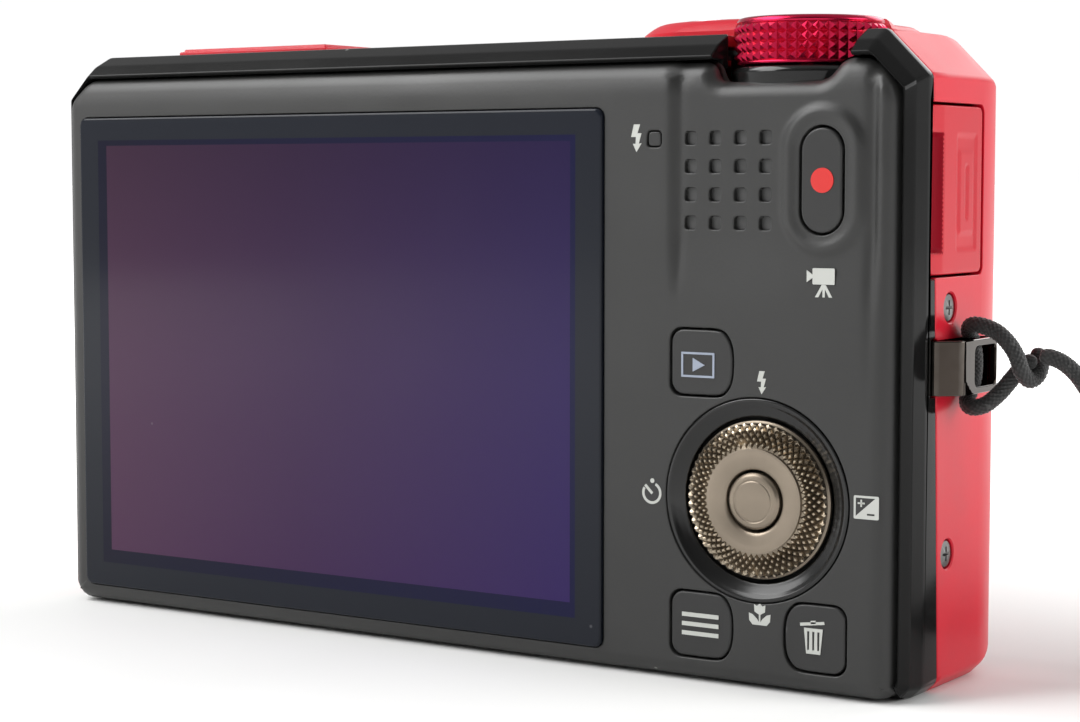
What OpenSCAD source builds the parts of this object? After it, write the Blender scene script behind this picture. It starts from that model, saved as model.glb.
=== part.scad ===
// Compact digital camera with a long zoom lens, seen from its display side.
// Millimetres. +Z is up, the display faces -Y, the lens faces +Y.
// The mode dial, the connector door and the strap lug are on the +X side.
// The origin is the middle of the tripod socket's mouth, on the base.

/* [Body] */
// body width, without the strap lug
body_w = 104.8; // [95:0.1:115]
// body height, without the dial
body_h = 62; // [55:0.1:68]
// body thickness, from the rear cover's face to the front face
body_d = 25; // [22:0.1:30]
// shell wall thickness
wall = 1.1; // [0.8:0.1:1.6]
// where the front shell meets the mid band, at half height
seam_y = -5.9; // [-8:0.1:-3]
// slant of that seam, in degrees
seam_tilt = 2.4; // [0:0.1:4]

/* [Lens] */
// lens axis, sideways from the tripod socket
lens_x = -14; // [-20:0.5:-8]
// lens axis, height above the base
lens_z = 29.5; // [27:0.5:34]
// radius of the fixed ring around the barrels
bezel_r = 26.6; // [25:0.1:27.5]
// radius of the outer barrel
barrel_r = 22; // [21:0.1:22.2]
// play between two barrels
barrel_gap = 0.4; // [0.3:0.05:0.5]

/* [Display] */
// left edge of the display glass
lcd_x0 = -49; // [-49.5:0.1:-45]
// right edge of the display glass
lcd_x1 = 20.3; // [18:0.1:21]
// bottom edge of the display glass
lcd_z0 = 2.2; // [2:0.1:5]
// top edge of the display glass
lcd_z1 = 55; // [50:0.1:56]

/* [Controls] */
// middle of the rotary selector, sideways
sel_x = 37.2; // [36:0.1:39]
// middle of the rotary selector, height
sel_z = 18; // [17:0.1:20]
// radius of the rotary selector
sel_r = 7.55; // [7:0.05:8]
// radius of the mode dial
dial_r = 7.3; // [6.5:0.05:7.5]
// middle of the mode dial, sideways
dial_x = 38.1; // [37:0.1:39]
// middle of the mode dial, front to back
dial_y = -3.7; // [-4:0.1:-3]
// middle of the shutter button, sideways
shut_x = 26; // [24:0.1:27]
// middle of the shutter button, front to back
shut_y = 5.3; // [5:0.1:6]

/* [Hidden] */
$fn = 48;
e = 0.01;
yb = -body_d / 2;
yf = body_d / 2;
cl = 3.6;
cr = 4.3;
cb = 1.2;
fx = 4;
fy = 8;
cover_r = 1.9;
cov_s = 1.0;
cov_t = 2.6;
cov_b = 0.3;
cord_d = 1.5;

// Route of the strap where it is tied round the lug, from its tail to the knot.
hitch_path = [
  [58.8, 1.9, 32.3], [59.6, 1.7, 31.3], [59.8, 0.7, 30.1], [59.5, -0.7, 29.6],
  [59.1, -1.7, 30.5], [58.7, -1.9, 31.8], [57.9, -1.9, 33.0], [56.7, -1.8, 34.0],
  [55.4, -1.8, 34.5], [54.2, -1.6, 34.6], [53.5, -0.9, 34.1], [53.4, 0.1, 33.0],
  [53.4, 0.7, 31.6], [53.4, 0.7, 30.0], [53.4, 0.1, 28.6], [53.5, -1.1, 27.4],
  [54.3, -1.9, 26.9], [55.6, -1.8, 27.2], [56.8, -1.3, 28.3], [57.8, -0.7, 29.7],
  [58.7, -0.2, 30.9], [59.8, 0.1, 31.6]
];

// Route of the free strap, from the knot down to the slider on the ground.
cord_path = [
  [60.1, 0.15, 31.65], [61.2, 0.3, 31.7], [62.6, 0.6, 31.0], [63.9, 0.9, 29.6],
  [65.1, 1.3, 27.4], [66.3, 1.9, 24.2], [67.4, 2.7, 20.2], [68.4, 3.7, 15.8],
  [69.3, 4.9, 11.4], [70.2, 6.4, 7.4], [71.0, 8.2, 4.4], [71.6, 10.6, 2.5],
  [71.9, 12.6, 1.95], [71.9, 14.0, 1.9]
];

// Wrist loop, laid on the ground in turns: its middle, its round ends and its straight part.
turns_x = 67.3;
turns_y = 38;
turns_r = 7.5;
turns_in = 2.3;
turns_straight = 16.6;

// ---------------------------------------------------------------- helpers

// Body outline seen from behind, drawn in by s at the sides, t at the top and b at the base.
module outline(s, t, b) {
  x0 = -body_w / 2 + s;
  x1 = body_w / 2 - s;
  z0 = b;
  z1 = body_h - t;
  k = 0.3 * (s + t);
  polygon([
    [x0 + cb, z0], [x1 - cb, z0], [x1, z0 + cb], [x1, z1 - cr + k],
    [x1 - cr + k, z1], [x0 + cl - k, z1], [x0, z1 - cl + k], [x0, z0 + cb]
  ]);
}

// Stands a flat outline up and gives it depth from y0 to y1.
module deep(y0, y1) {
  translate([0, y1, 0]) rotate([90, 0, 0]) linear_extrude(y1 - y0) children();
}

// Round bar along Y.
module ycyl(x, z, r, y0, y1, n = 64) {
  translate([x, y1, z]) rotate([90, 0, 0]) cylinder(h = y1 - y0, r = r, $fn = n);
}

// Round bar along X.
module xcyl(y, z, r, x0, x1, n = 32) {
  translate([x0, y, z]) rotate([0, 90, 0]) cylinder(h = x1 - x0, r = r, $fn = n);
}

// Round bar along Z.
module zcyl(x, y, r, z0, z1, n = 64) {
  translate([x, y, z0]) cylinder(h = z1 - z0, r = r, $fn = n);
}

// Box given by its two corners.
module box(a, b) {
  translate(a) cube([b[0] - a[0], b[1] - a[1], b[2] - a[2]]);
}

// Plate with round corners, its outline in X and Z, its depth along Y.
module plate(x0, x1, z0, z1, r, y0, y1) {
  box([x0 + r, y0, z0], [x1 - r, y1, z1]);
  box([x0, y0, z0 + r], [x1, y1, z1 - r]);
  for (x = [x0 + r, x1 - r]) {
    for (z = [z0 + r, z1 - r]) {
      ycyl(x, z, r, y0, y1, 32);
    }
  }
}

// Stadium standing upright, its depth along Y.
module stadium(x, z0, z1, r, y0, y1) {
  box([x - r, y0, z0 + r], [x + r, y1, z1 - r]);
  ycyl(x, z0 + r, r, y0, y1, 48);
  ycyl(x, z1 - r, r, y0, y1, 48);
}

// Turned piece on the lens axis: points are [radius, y].
module turned(pts) {
  translate([lens_x, 0, lens_z]) rotate([-90, 0, 0]) rotate_extrude($fn = 96) polygon(pts);
}

// Tube on the lens axis.
module tube(ro, ri, y0, y1) {
  turned([[ri, y0], [ro, y0], [ro, y1], [ri, y1]]);
}

// Everything behind the slanted seam.
module behind_seam() {
  translate([0, seam_y, body_h / 2]) rotate([seam_tilt, 0, 0])
    translate([-80, -30, -60]) cube([160, 30, 120]);
}

// Outside of the front shell: straight sides and a crowned front.
module shell_form() {
  hull() {
    deep(-9, yf - fy) outline(0, 0, 0);
    for (a = [15 : 15 : 90]) {
      deep(yf - fy + fy * sin(a) - e, yf - fy + fy * sin(a))
        outline(fx * (1 - cos(a)), fx * (1 - cos(a)), fx * (1 - cos(a)));
    }
  }
}

// Inside of the front shell.
module shell_hollow() {
  hull() {
    deep(-12, yf - fy) outline(wall, wall, wall);
    for (a = [30 : 30 : 90]) {
      deep(yf - fy + (fy - wall) * sin(a) - e, yf - fy + (fy - wall) * sin(a))
        outline(wall + fx * (1 - cos(a)), wall + fx * (1 - cos(a)), wall + fx * (1 - cos(a)));
    }
  }
}

// Raised deck round the shutter button.
module top_deck() {
  intersection() {
    union() {
      translate([shut_x, shut_y, 60.9]) cylinder(h = 2.3, r1 = 11.4, r2 = 8.6, $fn = 96);
      box([shut_x, -6, 60.9], [44.4, 12, 63.2]);
    }
    rotate([90, 0, 90]) translate([0, 0, 10]) linear_extrude(34.4)
      polygon([[-5.4, 60.9], [11.6, 60.9], [8.8, 63.2], [-3.4, 63.2]]);
  }
}

// Block that holds the front end of the battery door's pin.
module shell_hinge_block() {
  box([47.9, 5.8, 0.15], [51.5, 6.9, 2.4]);
}

// One screw: a countersunk cross head, pointing down into the body.
module screw() {
  difference() {
    union() {
      translate([0, 0, -0.75]) cylinder(h = 0.6, r = 1.3, $fn = 32);
      translate([0, 0, -2.9]) cylinder(h = 2.16, r = 0.7, $fn = 32);
    }
    for (a = [0, 90]) {
      rotate([0, 0, a]) translate([-0.85, -0.17, -0.5]) cube([1.7, 0.34, 0.5]);
    }
  }
}

// Screw well, cut into the shell.
module screw_well() {
  translate([0, 0, -0.85]) cylinder(h = 1.5, r = 1.42, $fn = 32);
  translate([0, 0, -3.2]) cylinder(h = 3, r = 0.8, $fn = 32);
}

// Puts a thing at every screw: two on each end, two in the base.
module at_screws() {
  for (z = [36.2, 13]) {
    translate([body_w / 2, -2.75, z]) rotate([0, 90, 0]) children();
  }
  for (z = [45, 13]) {
    translate([-body_w / 2, -2.75, z]) rotate([0, -90, 0]) children();
  }
  for (x = [-46.5, -20]) {
    translate([x, 0.5, 0]) rotate([180, 0, 0]) children();
  }
}

// Ring of corners square to a route, for a swept cord.
function unit(v) = v / norm(v);
function along(p, i) =
  i == 0 ? unit(p[1] - p[0]) :
  i == len(p) - 1 ? unit(p[i] - p[i - 1]) :
  unit(unit(p[i + 1] - p[i]) + unit(p[i] - p[i - 1]));
function turn(u, t) = unit(u - t * (u * t));
function carried(p, i) =
  i == 0 ? turn([0.13, 0.31, 0.94], along(p, 0)) : turn(carried(p, i - 1), along(p, i));
function ring(p, i, r) =
  let (t = along(p, i), u = carried(p, i), v = cross(t, u))
  [for (k = [0 : 7]) p[i] + r * (cos(45 * k) * u + sin(45 * k) * v)];

// Cord swept along a route, with eight sides.
module cord(p, r) {
  n = len(p);
  pts = [for (i = [0 : n - 1]) each ring(p, i, r)];
  sides = [
    for (i = [0 : n - 2]) for (k = [0 : 7])
      [i * 8 + k, i * 8 + (k + 1) % 8, (i + 1) * 8 + (k + 1) % 8, (i + 1) * 8 + k]
  ];
  polyhedron(
    points = pts,
    faces = concat([[7, 6, 5, 4, 3, 2, 1, 0]], sides, [[for (k = [0 : 7]) (n - 1) * 8 + k]]),
    convexity = 6
  );
}

// ---------------------------------------------------------------- housing

module front_shell() {
  color([0.72, 0.05, 0.1])
  difference() {
    union() {
      difference() {
        shell_form();
        shell_hollow();
      }
      top_deck();
      shell_hinge_block();
    }
    behind_seam();
    ycyl(lens_x, lens_z, 24.9, 8, 14, 96);
    ycyl(12.5, 53, 2.3, 8, 14, 32);
    // mode dial, zoom lever and power button
    zcyl(dial_x, dial_y, 7.9, 55, 66);
    zcyl(shut_x, shut_y, 5.4, 58, 66);
    zcyl(12, 3.5, 3, 58, 66);
    // pop-up flash
    box([-42.9, -1.9, 58], [-22.3, 9.9, 64]);
    // microphone holes
    for (x = [-12, 3]) {
      for (y = [1.8, 3, 4.2]) {
        zcyl(x, y, 0.35, 59, 63, 16);
      }
    }
    // connector door: pocket, window and hinge groove
    box([51.7, -8, 38.5], [53, 4.95, 55.3]);
    box([50, -4.9, 40.6], [53, 2.6, 53.2]);
    box([51.3, 3.4, 39.1], [53, 4.95, 54.7]);
    // strap lug feet
    box([50, -8, 27.7], [53, -5.7, 33.8]);
    box([50, 2.3, 27.9], [53, 3.5, 33.6]);
    // battery door and its pin, and the small connector cover
    box([13.2, -3.8, -1], [49.9, 5.8, 2.6]);
    box([13.2, 5.7, -1], [47.8, 10.4, 2.6]);
    translate([48.9, 6.7, 0.8]) rotate([90, 0, 0]) cylinder(h = 11, r = 0.45, $fn = 32);
    box([-40.2, -2.6, -1], [-28.9, 3.6, 2]);
    zcyl(0, 0, 4.85, -1, 3);
    at_screws() screw_well();
  }
}

module mid_band() {
  color([0.05, 0.05, 0.05])
  difference() {
    intersection() {
      hull() {
        deep(-11.6, -11.5) outline(0.9, 2.2, 0.6);
        deep(-10.2, -10.1) outline(0.35, 1.1, 0.2);
        deep(-7.7, -3) outline(0, 0, 0);
      }
      behind_seam();
    }
    // seat for the rear cover's rim, then the hollow behind it
    deep(-12.6, -9.35) outline(cov_s - 0.03, cov_t - 0.03, cov_b - 0.03);
    deep(-9.4, -2) outline(2, 3.3, 1.6);
    zcyl(0, 0, 4.85, -1, 3);
    box([-60, -13, -1], [60, -9.4, 1.6]);
    zcyl(dial_x, dial_y, 7.9, 55, 66);
    deep(-13, -3) polygon([[32.4, 64], [32.4, 55], [43.9, 55], [44.5, 64]]);
    box([51.7, -7.7, 38.5], [53, -3, 55.3]);
    box([50, -7.2, 27.7], [53.5, -3, 33.8]);
  }
}

module rear_cover() {
  color([0.12, 0.12, 0.12])
  difference() {
    hull() {
      for (a = [0 : 22.5 : 90]) {
        deep(yb + cover_r * (1 - sin(a)), yb + cover_r * (1 - sin(a)) + e)
          outline(
            cov_s + cover_r * (1 - cos(a)),
            cov_t + cover_r * (1 - cos(a)),
            cov_b + cover_r * (1 - cos(a)));
      }
      deep(-9.5, -9.4) outline(cov_s, cov_t, cov_b);
    }
    deep(-11.3, -9) outline(cov_s + 1.2, cov_t + 1.2, cov_b + 1.2);
    // rabbet and window for the display
    plate(lcd_x0 - 0.15, lcd_x1 + 0.15, lcd_z0 - 0.15, lcd_z1 + 0.15, 1, -13, -11.7);
    box([lcd_x0 + 1.6, -13, lcd_z0 + 1.8], [lcd_x1 - 1.6, -11, lcd_z1 - 1.8]);
    // the cover sinks a little to the right of a crease
    hull() {
      deep(-12.6, -12.5) polygon([[27.7, 60], [27.7, 37], [45, 37], [60, 37], [60, 60]]);
      deep(-12.05, -12.04) polygon([[28.8, 60], [28.8, 44], [60, 44], [60, 60]]);
    }
    // dip at the mode dial
    deep(-14, -8) polygon([[31.2, 61], [32.4, 57.3], [43.6, 57.3], [46.4, 61]]);
    // speaker holes
    for (i = [0 : 3]) {
      for (j = [0 : 3]) {
        translate([29.75 + 2.67 * i - 0.62, -13, 52.05 - 2.67 * j - 0.62]) cube([1.24, 3, 1.24]);
      }
    }
    plate(25.2, 26.8, 51.2, 52.8, 0.4, -13, -11);
    stadium(43.7, 43, 53.1, 2.3, -13, -11);
    ycyl(sel_x, sel_z, 9.75, -13, -11, 96);
    button_form(27.8, 34.9, 27.5, 34.1, 30.6, 4.45, -13, -11);
    button_form(27.9, 35, 2.3, 8.9, 30.7, 4.45, -13, -11);
    button_form(40.1, 46.8, 2.2, 8.9, 44.2, 4.3, -13, -11);
    // room for the strap lug foot
    box([49.5, -7.2, 27.7], [53.5, -3, 33.8]);
  }
  color([0.12, 0.12, 0.12])
  difference() {
    stadium(43.8, 41.2, 54.9, 4.1, -12.4, -11.9);
    stadium(43.7, 43, 53.1, 2.3, -13, -11);
  }
}

// Rounded button with one bulging side.
module button_form(x0, x1, z0, z1, cx, cr2, y0, y1) {
  intersection() {
    plate(x0, x1, z0, z1, 1.3, y0, y1);
    ycyl(cx, (z0 + z1) / 2, cr2, y0 - 1, y1 + 1, 64);
  }
}

module chassis() {
  color([0.3, 0.3, 0.32])
  difference() {
    box([-50.2, -5.5, 2.2], [50.2, -4.7, 58.4]);
    ycyl(lens_x, lens_z, 24.9, -7, 0, 96);
    box([13.3, -7, 0], [48.9, 0, 48.4]);
    box([-44.5, -7, 39.5], [-21.5, 0, 56.5]);
    box([28.5, -7, 50], [47.5, 0, 64]);
    box([49.9, -7, 27.5], [52, 0, 34]);
  }
}

module front_grip() {
  color([0.06, 0.06, 0.06])
  difference() {
    hull() {
      for (x = [37.2, 40.8]) {
        for (z = [13, 47]) {
          translate([x, 12.2, z]) sphere(r = 3.2, $fn = 32);
        }
      }
    }
    box([20, 0, 0], [60, yf, 62]);
  }
}

// ---------------------------------------------------------------- display

module display_glass() {
  color([0.1, 0.1, 0.16])
  plate(lcd_x0, lcd_x1, lcd_z0, lcd_z1, 0.9, -12.85, -11.7);
}

module display_panel() {
  color([0.2, 0.17, 0.3])
  difference() {
    box([lcd_x0 + 1.9, -11.2, lcd_z0 + 2.1], [lcd_x1 - 1.9, -8.2, lcd_z1 - 2.1]);
    box([lcd_x0 + 2.6, -12, lcd_z0 + 3], [lcd_x1 - 2.6, -11.1, lcd_z1 - 3]);
  }
}

module main_board() {
  color([0.05, 0.3, 0.15])
  union() {
    difference() {
      box([-48, -7.9, 5], [18.5, -7.1, 56]);
      box([-15, -8, 52], [-5, -7, 57]);
    }
    box([-44, -7.1, 8], [-32, -6.2, 20]);
    box([-44, -7.1, 26], [-36, -6.4, 34]);
    box([2, -7.1, 10], [14, -6.2, 22]);
    box([6, -7.1, 30], [14, -6.4, 42]);
    for (z = [46, 49, 52]) {
      box([4, -7.1, z], [7, -6.3, z + 1.6]);
      box([9, -7.1, z], [12, -6.3, z + 1.6]);
    }
  }
}

// ---------------------------------------------------------------- lens

module lens_housing() {
  color([0.08, 0.08, 0.08])
  difference() {
    turned([
      [0.01, -5.6], [24.4, -5.6], [24.4, 10.8], [barrel_r + barrel_gap, 10.8],
      [barrel_r + barrel_gap, -4.5], [0.01, -4.5]
    ]);
    box([lens_x - 5, -7, lens_z - 4], [lens_x + 5, -4, lens_z + 4]);
    ycyl(lens_x, lens_z, 4.5, -7, -4, 48);
  }
}

module lens_bezel() {
  color([0.1, 0.1, 0.1])
  turned([
    [22.6, 11], [24.6, 11], [24.6, 12.5], [bezel_r, 12.5], [bezel_r, 15.6],
    [bezel_r - 0.4, 16.3], [bezel_r - 1.1, 16.9], [24.2, 17.2], [23.2, 17.2], [22.6, 16.8]
  ]);
}

module outer_barrel() {
  color([0.12, 0.12, 0.12])
  turned([
    [20.6, -3.6], [barrel_r, -3.6], [barrel_r, 18.9], [barrel_r - 0.3, 19.2],
    [20.9, 19.2], [20.6, 18.9]
  ]);
}

module middle_barrel() {
  color([0.14, 0.14, 0.14])
  turned([
    [18.7, -3.8], [20.2, -3.8], [20.2, 19.9], [19.9, 20.2], [19, 20.2], [18.7, 19.9]
  ]);
}

module inner_barrel() {
  color([0.1, 0.1, 0.1])
  union() {
    turned([
      [16, -4], [18.3, -4], [18.3, 20.8], [17.9, 21.2], [16.4, 21.2], [16, 21]
    ]);
    tube(16.2, 13.3, 13, 17);
    tube(16.2, 9.1, 3, 6.5);
  }
}

module front_ring() {
  color([0.05, 0.05, 0.05])
  turned([
    [10.1, 19.45], [15.9, 19.45], [15.9, 20.9], [14.6, 20.9], [13.6, 20.3], [10.1, 19.8]
  ]);
}

module front_lens() {
  color([0.3, 0.35, 0.45, 0.5])
  turned([
    [0.01, 13.4], [13.2, 13.4], [13.2, 15.6], [11, 16.6], [8, 17.5], [5, 18.05],
    [2.5, 18.3], [0.01, 18.38]
  ]);
}

module zoom_lens() {
  color([0.4, 0.45, 0.5, 0.5])
  turned([
    [0.01, 3.6], [4, 3.4], [9, 3.1], [9, 6.3], [5, 7.4], [0.01, 7.9]
  ]);
}

module rear_lens() {
  color([0.4, 0.45, 0.5, 0.5])
  union() {
    turned([[0.01, -3.4], [6, -3.8], [6, -1.2], [3, -0.6], [0.01, -0.4]]);
    difference() {
      tube(13, 6, -4.5, -1);
      box([lens_x - 20, -2.4, lens_z + 7], [lens_x + 20, 0, lens_z + 20]);
    }
  }
}

module image_sensor() {
  color([0.25, 0.2, 0.35])
  union() {
    box([lens_x - 4.4, -6, lens_z - 3.6], [lens_x + 4.4, -4.9, lens_z + 3.6]);
    box([lens_x - 8, -6.8, lens_z - 7], [lens_x + 8, -5.65, lens_z + 7]);
  }
}

// Two leaves above the lens axis and two below it close over the front lens.
module near_blade() {
  translate([lens_x, 0, lens_z])
  intersection() {
    translate([0, 18.85, -10.2]) rotate([90, 0, 0]) cylinder(h = 0.22, r = 15.6, $fn = 96);
    box([-10.8, 18, 0.03], [10.8, 19, 6]);
  }
}

module far_blade() {
  translate([lens_x, 0, lens_z])
  difference() {
    intersection() {
      translate([0, 19.25, -5.3]) rotate([90, 0, 0]) cylinder(h = 0.22, r = 15.6, $fn = 96);
      box([-10.8, 18, 1], [10.8, 20, 11]);
    }
    translate([0, 19.5, -10.6]) rotate([90, 0, 0]) cylinder(h = 1, r = 15.6, $fn = 96);
  }
}

module mirrored_low() {
  translate([0, 0, 2 * lens_z]) mirror([0, 0, 1]) children();
}

module blade_top_near() {
  color([0.03, 0.03, 0.03]) near_blade();
}

module blade_top_far() {
  color([0.03, 0.03, 0.03]) far_blade();
}

module blade_low_near() {
  color([0.03, 0.03, 0.03]) mirrored_low() near_blade();
}

module blade_low_far() {
  color([0.03, 0.03, 0.03]) mirrored_low() far_blade();
}

// ---------------------------------------------------------------- flash

module flash_cover() {
  color([0.72, 0.05, 0.1])
  union() {
    box([-43.3, -2.4, 62.1], [-21.9, 10.3, 62.7]);
    box([-42.9, -2, 62.7], [-22.3, 9.9, 63]);
  }
}

module flash_head() {
  color([0.06, 0.06, 0.06])
  difference() {
    union() {
      box([-42.5, -1.5, 55.2], [-22.7, 9.5, 62.1]);
      box([-42.5, -1.5, 40], [-40.2, 4.5, 55.3]);
    }
    box([-41, 2, 56.3], [-24.2, 10, 61.2]);
  }
}

module flash_window() {
  color([0.9, 0.9, 0.92, 0.5])
  box([-40.9, 8.6, 56.4], [-24.3, 9.5, 61.1]);
}

module flash_reflector() {
  color([0.85, 0.85, 0.86])
  union() {
    difference() {
      box([-40.8, 2.2, 56.5], [-24.4, 8.4, 61]);
      rotate([90, 0, 90]) translate([0, 0, -40]) linear_extrude(14.8)
        polygon([[3.2, 58], [8.5, 56.9], [8.5, 60.6], [3.2, 59.5]]);
    }
    xcyl(4.4, 58.75, 0.6, -40.2, -25, 24);
  }
}

module flash_capacitor() {
  color([0.1, 0.1, 0.14])
  union() {
    zcyl(-45.4, 3.2, 4.1, 4.5, 38, 48);
    zcyl(-45.4, 3.2, 3.2, 38, 38.6, 48);
  }
}

// ---------------------------------------------------------------- top controls

module mode_dial() {
  color([0.75, 0.04, 0.12])
  union() {
    translate([dial_x, dial_y, 0]) rotate_extrude($fn = 96) polygon([
      [0.01, 58.95], [6.7, 58.95], [6.75, 59.15],
      [7.05, 59.2], [dial_r, 59.65], [7.05, 60.1], [dial_r, 60.55], [7.05, 61],
      [dial_r, 61.45], [7.05, 61.9], [dial_r, 62.35], [7.05, 62.8],
      [7.1, 63.1], [6.8, 63.45], [0.01, 63.45]
    ]);
    zcyl(dial_x, dial_y, 1.6, 54.5, 58.95, 32);
  }
}

module dial_base() {
  color([0.04, 0.04, 0.04])
  difference() {
    zcyl(dial_x, dial_y, 7.5, 56.3, 58.7);
    zcyl(dial_x, dial_y, 1.65, 55, 60, 32);
  }
}

module zoom_lever() {
  color([0.75, 0.75, 0.77])
  difference() {
    union() {
      zcyl(shut_x, shut_y, 6.3, 63.3, 63.95);
      zcyl(shut_x, shut_y, 5.05, 60.4, 63.4);
      translate([shut_x - 1.7, shut_y + 5.6, 63.3]) cube([3.4, 1.7, 0.65]);
    }
    zcyl(shut_x, shut_y, 4.3, 59, 66);
  }
}

module shutter_button() {
  color([0.8, 0.8, 0.82])
  union() {
    translate([shut_x, shut_y, 0]) rotate_extrude($fn = 64) polygon([
      [0.01, 61.2], [4, 61.2], [4, 63.8], [3.6, 64.05], [2.5, 64.15], [0.01, 64.1]
    ]);
    zcyl(shut_x, shut_y, 1.3, 58.6, 61.2, 32);
  }
}

module power_button() {
  color([0.75, 0.75, 0.77])
  union() {
    zcyl(12, 3.5, 2.7, 61.2, 62.45, 48);
    zcyl(12, 3.5, 1.1, 58.9, 61.2, 32);
  }
}

// ---------------------------------------------------------------- rear controls

module movie_button() {
  color([0.1, 0.1, 0.1])
  union() {
    stadium(43.7, 43.25, 52.85, 2.05, -12.4, -11.1);
    ycyl(43.7, 48.05, 1.2, -11.1, -10.1, 32);
  }
}

module play_button() {
  color([0.1, 0.1, 0.1])
  union() {
    button_form(28, 34.7, 27.7, 33.9, 30.6, 4.25, -12.45, -11.1);
    ycyl(31.2, 30.8, 1.2, -11.1, -10.1, 32);
  }
}

module menu_button() {
  color([0.1, 0.1, 0.1])
  union() {
    button_form(28.1, 34.8, 2.5, 8.7, 30.7, 4.25, -12.45, -11.1);
    ycyl(31.3, 5.6, 1.2, -11.1, -10.1, 32);
  }
}

module delete_button() {
  color([0.1, 0.1, 0.1])
  union() {
    button_form(40.3, 46.6, 2.4, 8.7, 44.2, 4.1, -12.45, -11.1);
    ycyl(43.5, 5.6, 1.2, -11.1, -10.1, 32);
  }
}

module selector_ring() {
  color([0.04, 0.04, 0.04])
  difference() {
    ycyl(sel_x, sel_z, 9.65, -12.55, -11.3, 96);
    ycyl(sel_x, sel_z, sel_r + 0.35, -13, -11, 96);
    translate([sel_x, -12.1, sel_z]) rotate([90, 0, 0]) cylinder(h = 0.6, r1 = 8.1, r2 = 9.3, $fn = 96);
  }
}

module selector_wheel() {
  color([0.6, 0.52, 0.44])
  difference() {
    union() {
      translate([sel_x, 0, sel_z]) rotate([90, 0, 0]) rotate_extrude($fn = 96) polygon([
        [2.95, 11.2], [7.3, 11.2], [sel_r, 11.5], [sel_r, 12.3], [7.2, 12.75], [6.4, 13],
        [5.2, 13.1], [5, 12.95], [4.6, 12.95], [3.1, 12.75], [2.95, 12.7]
      ]);
    }
    ycyl(sel_x, sel_z, 2.95, -14, -10, 64);
  }
}

module centre_button() {
  color([0.62, 0.55, 0.47])
  union() {
    translate([sel_x, 0, sel_z]) rotate([90, 0, 0]) rotate_extrude($fn = 64) polygon([
      [0.01, 11], [2.7, 11], [2.7, 12.7], [2.5, 12.95], [1.8, 13.1], [0.01, 13.15]
    ]);
    ycyl(sel_x, sel_z, 1.1, -11, -10.1, 32);
  }
}

module control_board() {
  color([0.05, 0.3, 0.15])
  union() {
    box([21.8, -9.4, 2.6], [49, -8.6, 36.5]);
    box([40.8, -9.4, 36.4], [49, -8.6, 54]);
    for (p = [[31.2, 30.8], [31.3, 5.6], [43.5, 5.6], [43.7, 48.05], [sel_x, sel_z]]) {
      ycyl(p[0], p[1], 1.8, -9.7, -9.4, 32);
    }
  }
}

module speaker() {
  color([0.3, 0.3, 0.32])
  union() {
    ycyl(33.75, 48, 6.3, -11.1, -9.9, 64);
    ycyl(33.75, 48, 3.6, -9.9, -8.6, 48);
  }
}

module ready_lamp() {
  color([0.8, 0.45, 0.1])
  plate(25.3, 26.7, 51.3, 52.7, 0.35, -12.42, -11.1);
}

module focus_lamp() {
  color([0.9, 0.5, 0.15, 0.7])
  ycyl(12.5, 53, 2.15, 10.9, 12.55, 48);
}

// ---------------------------------------------------------------- connectors

module connector_door() {
  color([0.7, 0.05, 0.1])
  difference() {
    union() {
      translate([51.78, 0, 0]) rotate([90, 0, 90]) linear_extrude(0.57)
        polygon([
          [-5.65, 39.3], [3.3, 39.3], [4.1, 39.7],
          [4.1, 54.1], [3.3, 54.5], [-5.65, 54.5]
        ]);
      // rolled front edge, which the door turns on
      translate([52.065, 4.1, 40]) cylinder(h = 13.8, r = 0.285, $fn = 32);
      box([50.9, -4.4, 41.2], [51.8, 2, 52.6]);
    }
    // finger scoop along the rear edge
    translate([53.6, -6.2, 42]) cylinder(h = 10, r = 2.2, $fn = 48);
  }
}

module hdmi_port() {
  color([0.75, 0.75, 0.77])
  difference() {
    box([42.6, -3.7, 41.6], [50.6, 0.1, 52.4]);
    box([45, -3.2, 42.2], [51, -0.4, 51.8]);
  }
}

module usb_cover() {
  color([0.06, 0.06, 0.06])
  union() {
    box([-40, -2.4, 0], [-29.85, 3.4, 1.05]);
    translate([-29.85, 3.4, 0.525]) rotate([90, 0, 0]) cylinder(h = 5.8, r = 0.525, $fn = 32);
    box([-38.5, -0.6, 1.05], [-31.5, 1.6, 1.7]);
  }
}

module usb_port() {
  color([0.75, 0.75, 0.77])
  difference() {
    box([-39.4, -1.5, 1.9], [-30.6, 2.5, 4.9]);
    box([-38.8, -0.9, 1], [-31.2, 1.9, 4.2]);
  }
}

// ---------------------------------------------------------------- battery and card

module battery_bay() {
  color([0.16, 0.16, 0.17])
  difference() {
    box([13.8, -4.2, 2.2], [48.4, 10, 46.9]);
    box([15, 1.4, 1], [47.3, 9.6, 46.2]);
    box([17.7, -3.3, 1], [42.3, -0.6, 35]);
    // the front wall stops short of the crowned shell
    box([13, 9.5, 1], [49, 11, 3.6]);
    box([42.3, -5, 40.6], [49, 0.5, 47]);
  }
}

module battery() {
  color([0.2, 0.2, 0.22])
  box([15.3, 1.6, 2.3], [47.1, 9.4, 46]);
}

module memory_card() {
  color([0.1, 0.15, 0.45])
  rotate([90, 0, 0]) translate([0, 0, 0.9]) linear_extrude(2.1)
    polygon([[18, 2.6], [42, 2.6], [42, 34.6], [22, 34.6], [18, 30.8]]);
}

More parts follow.
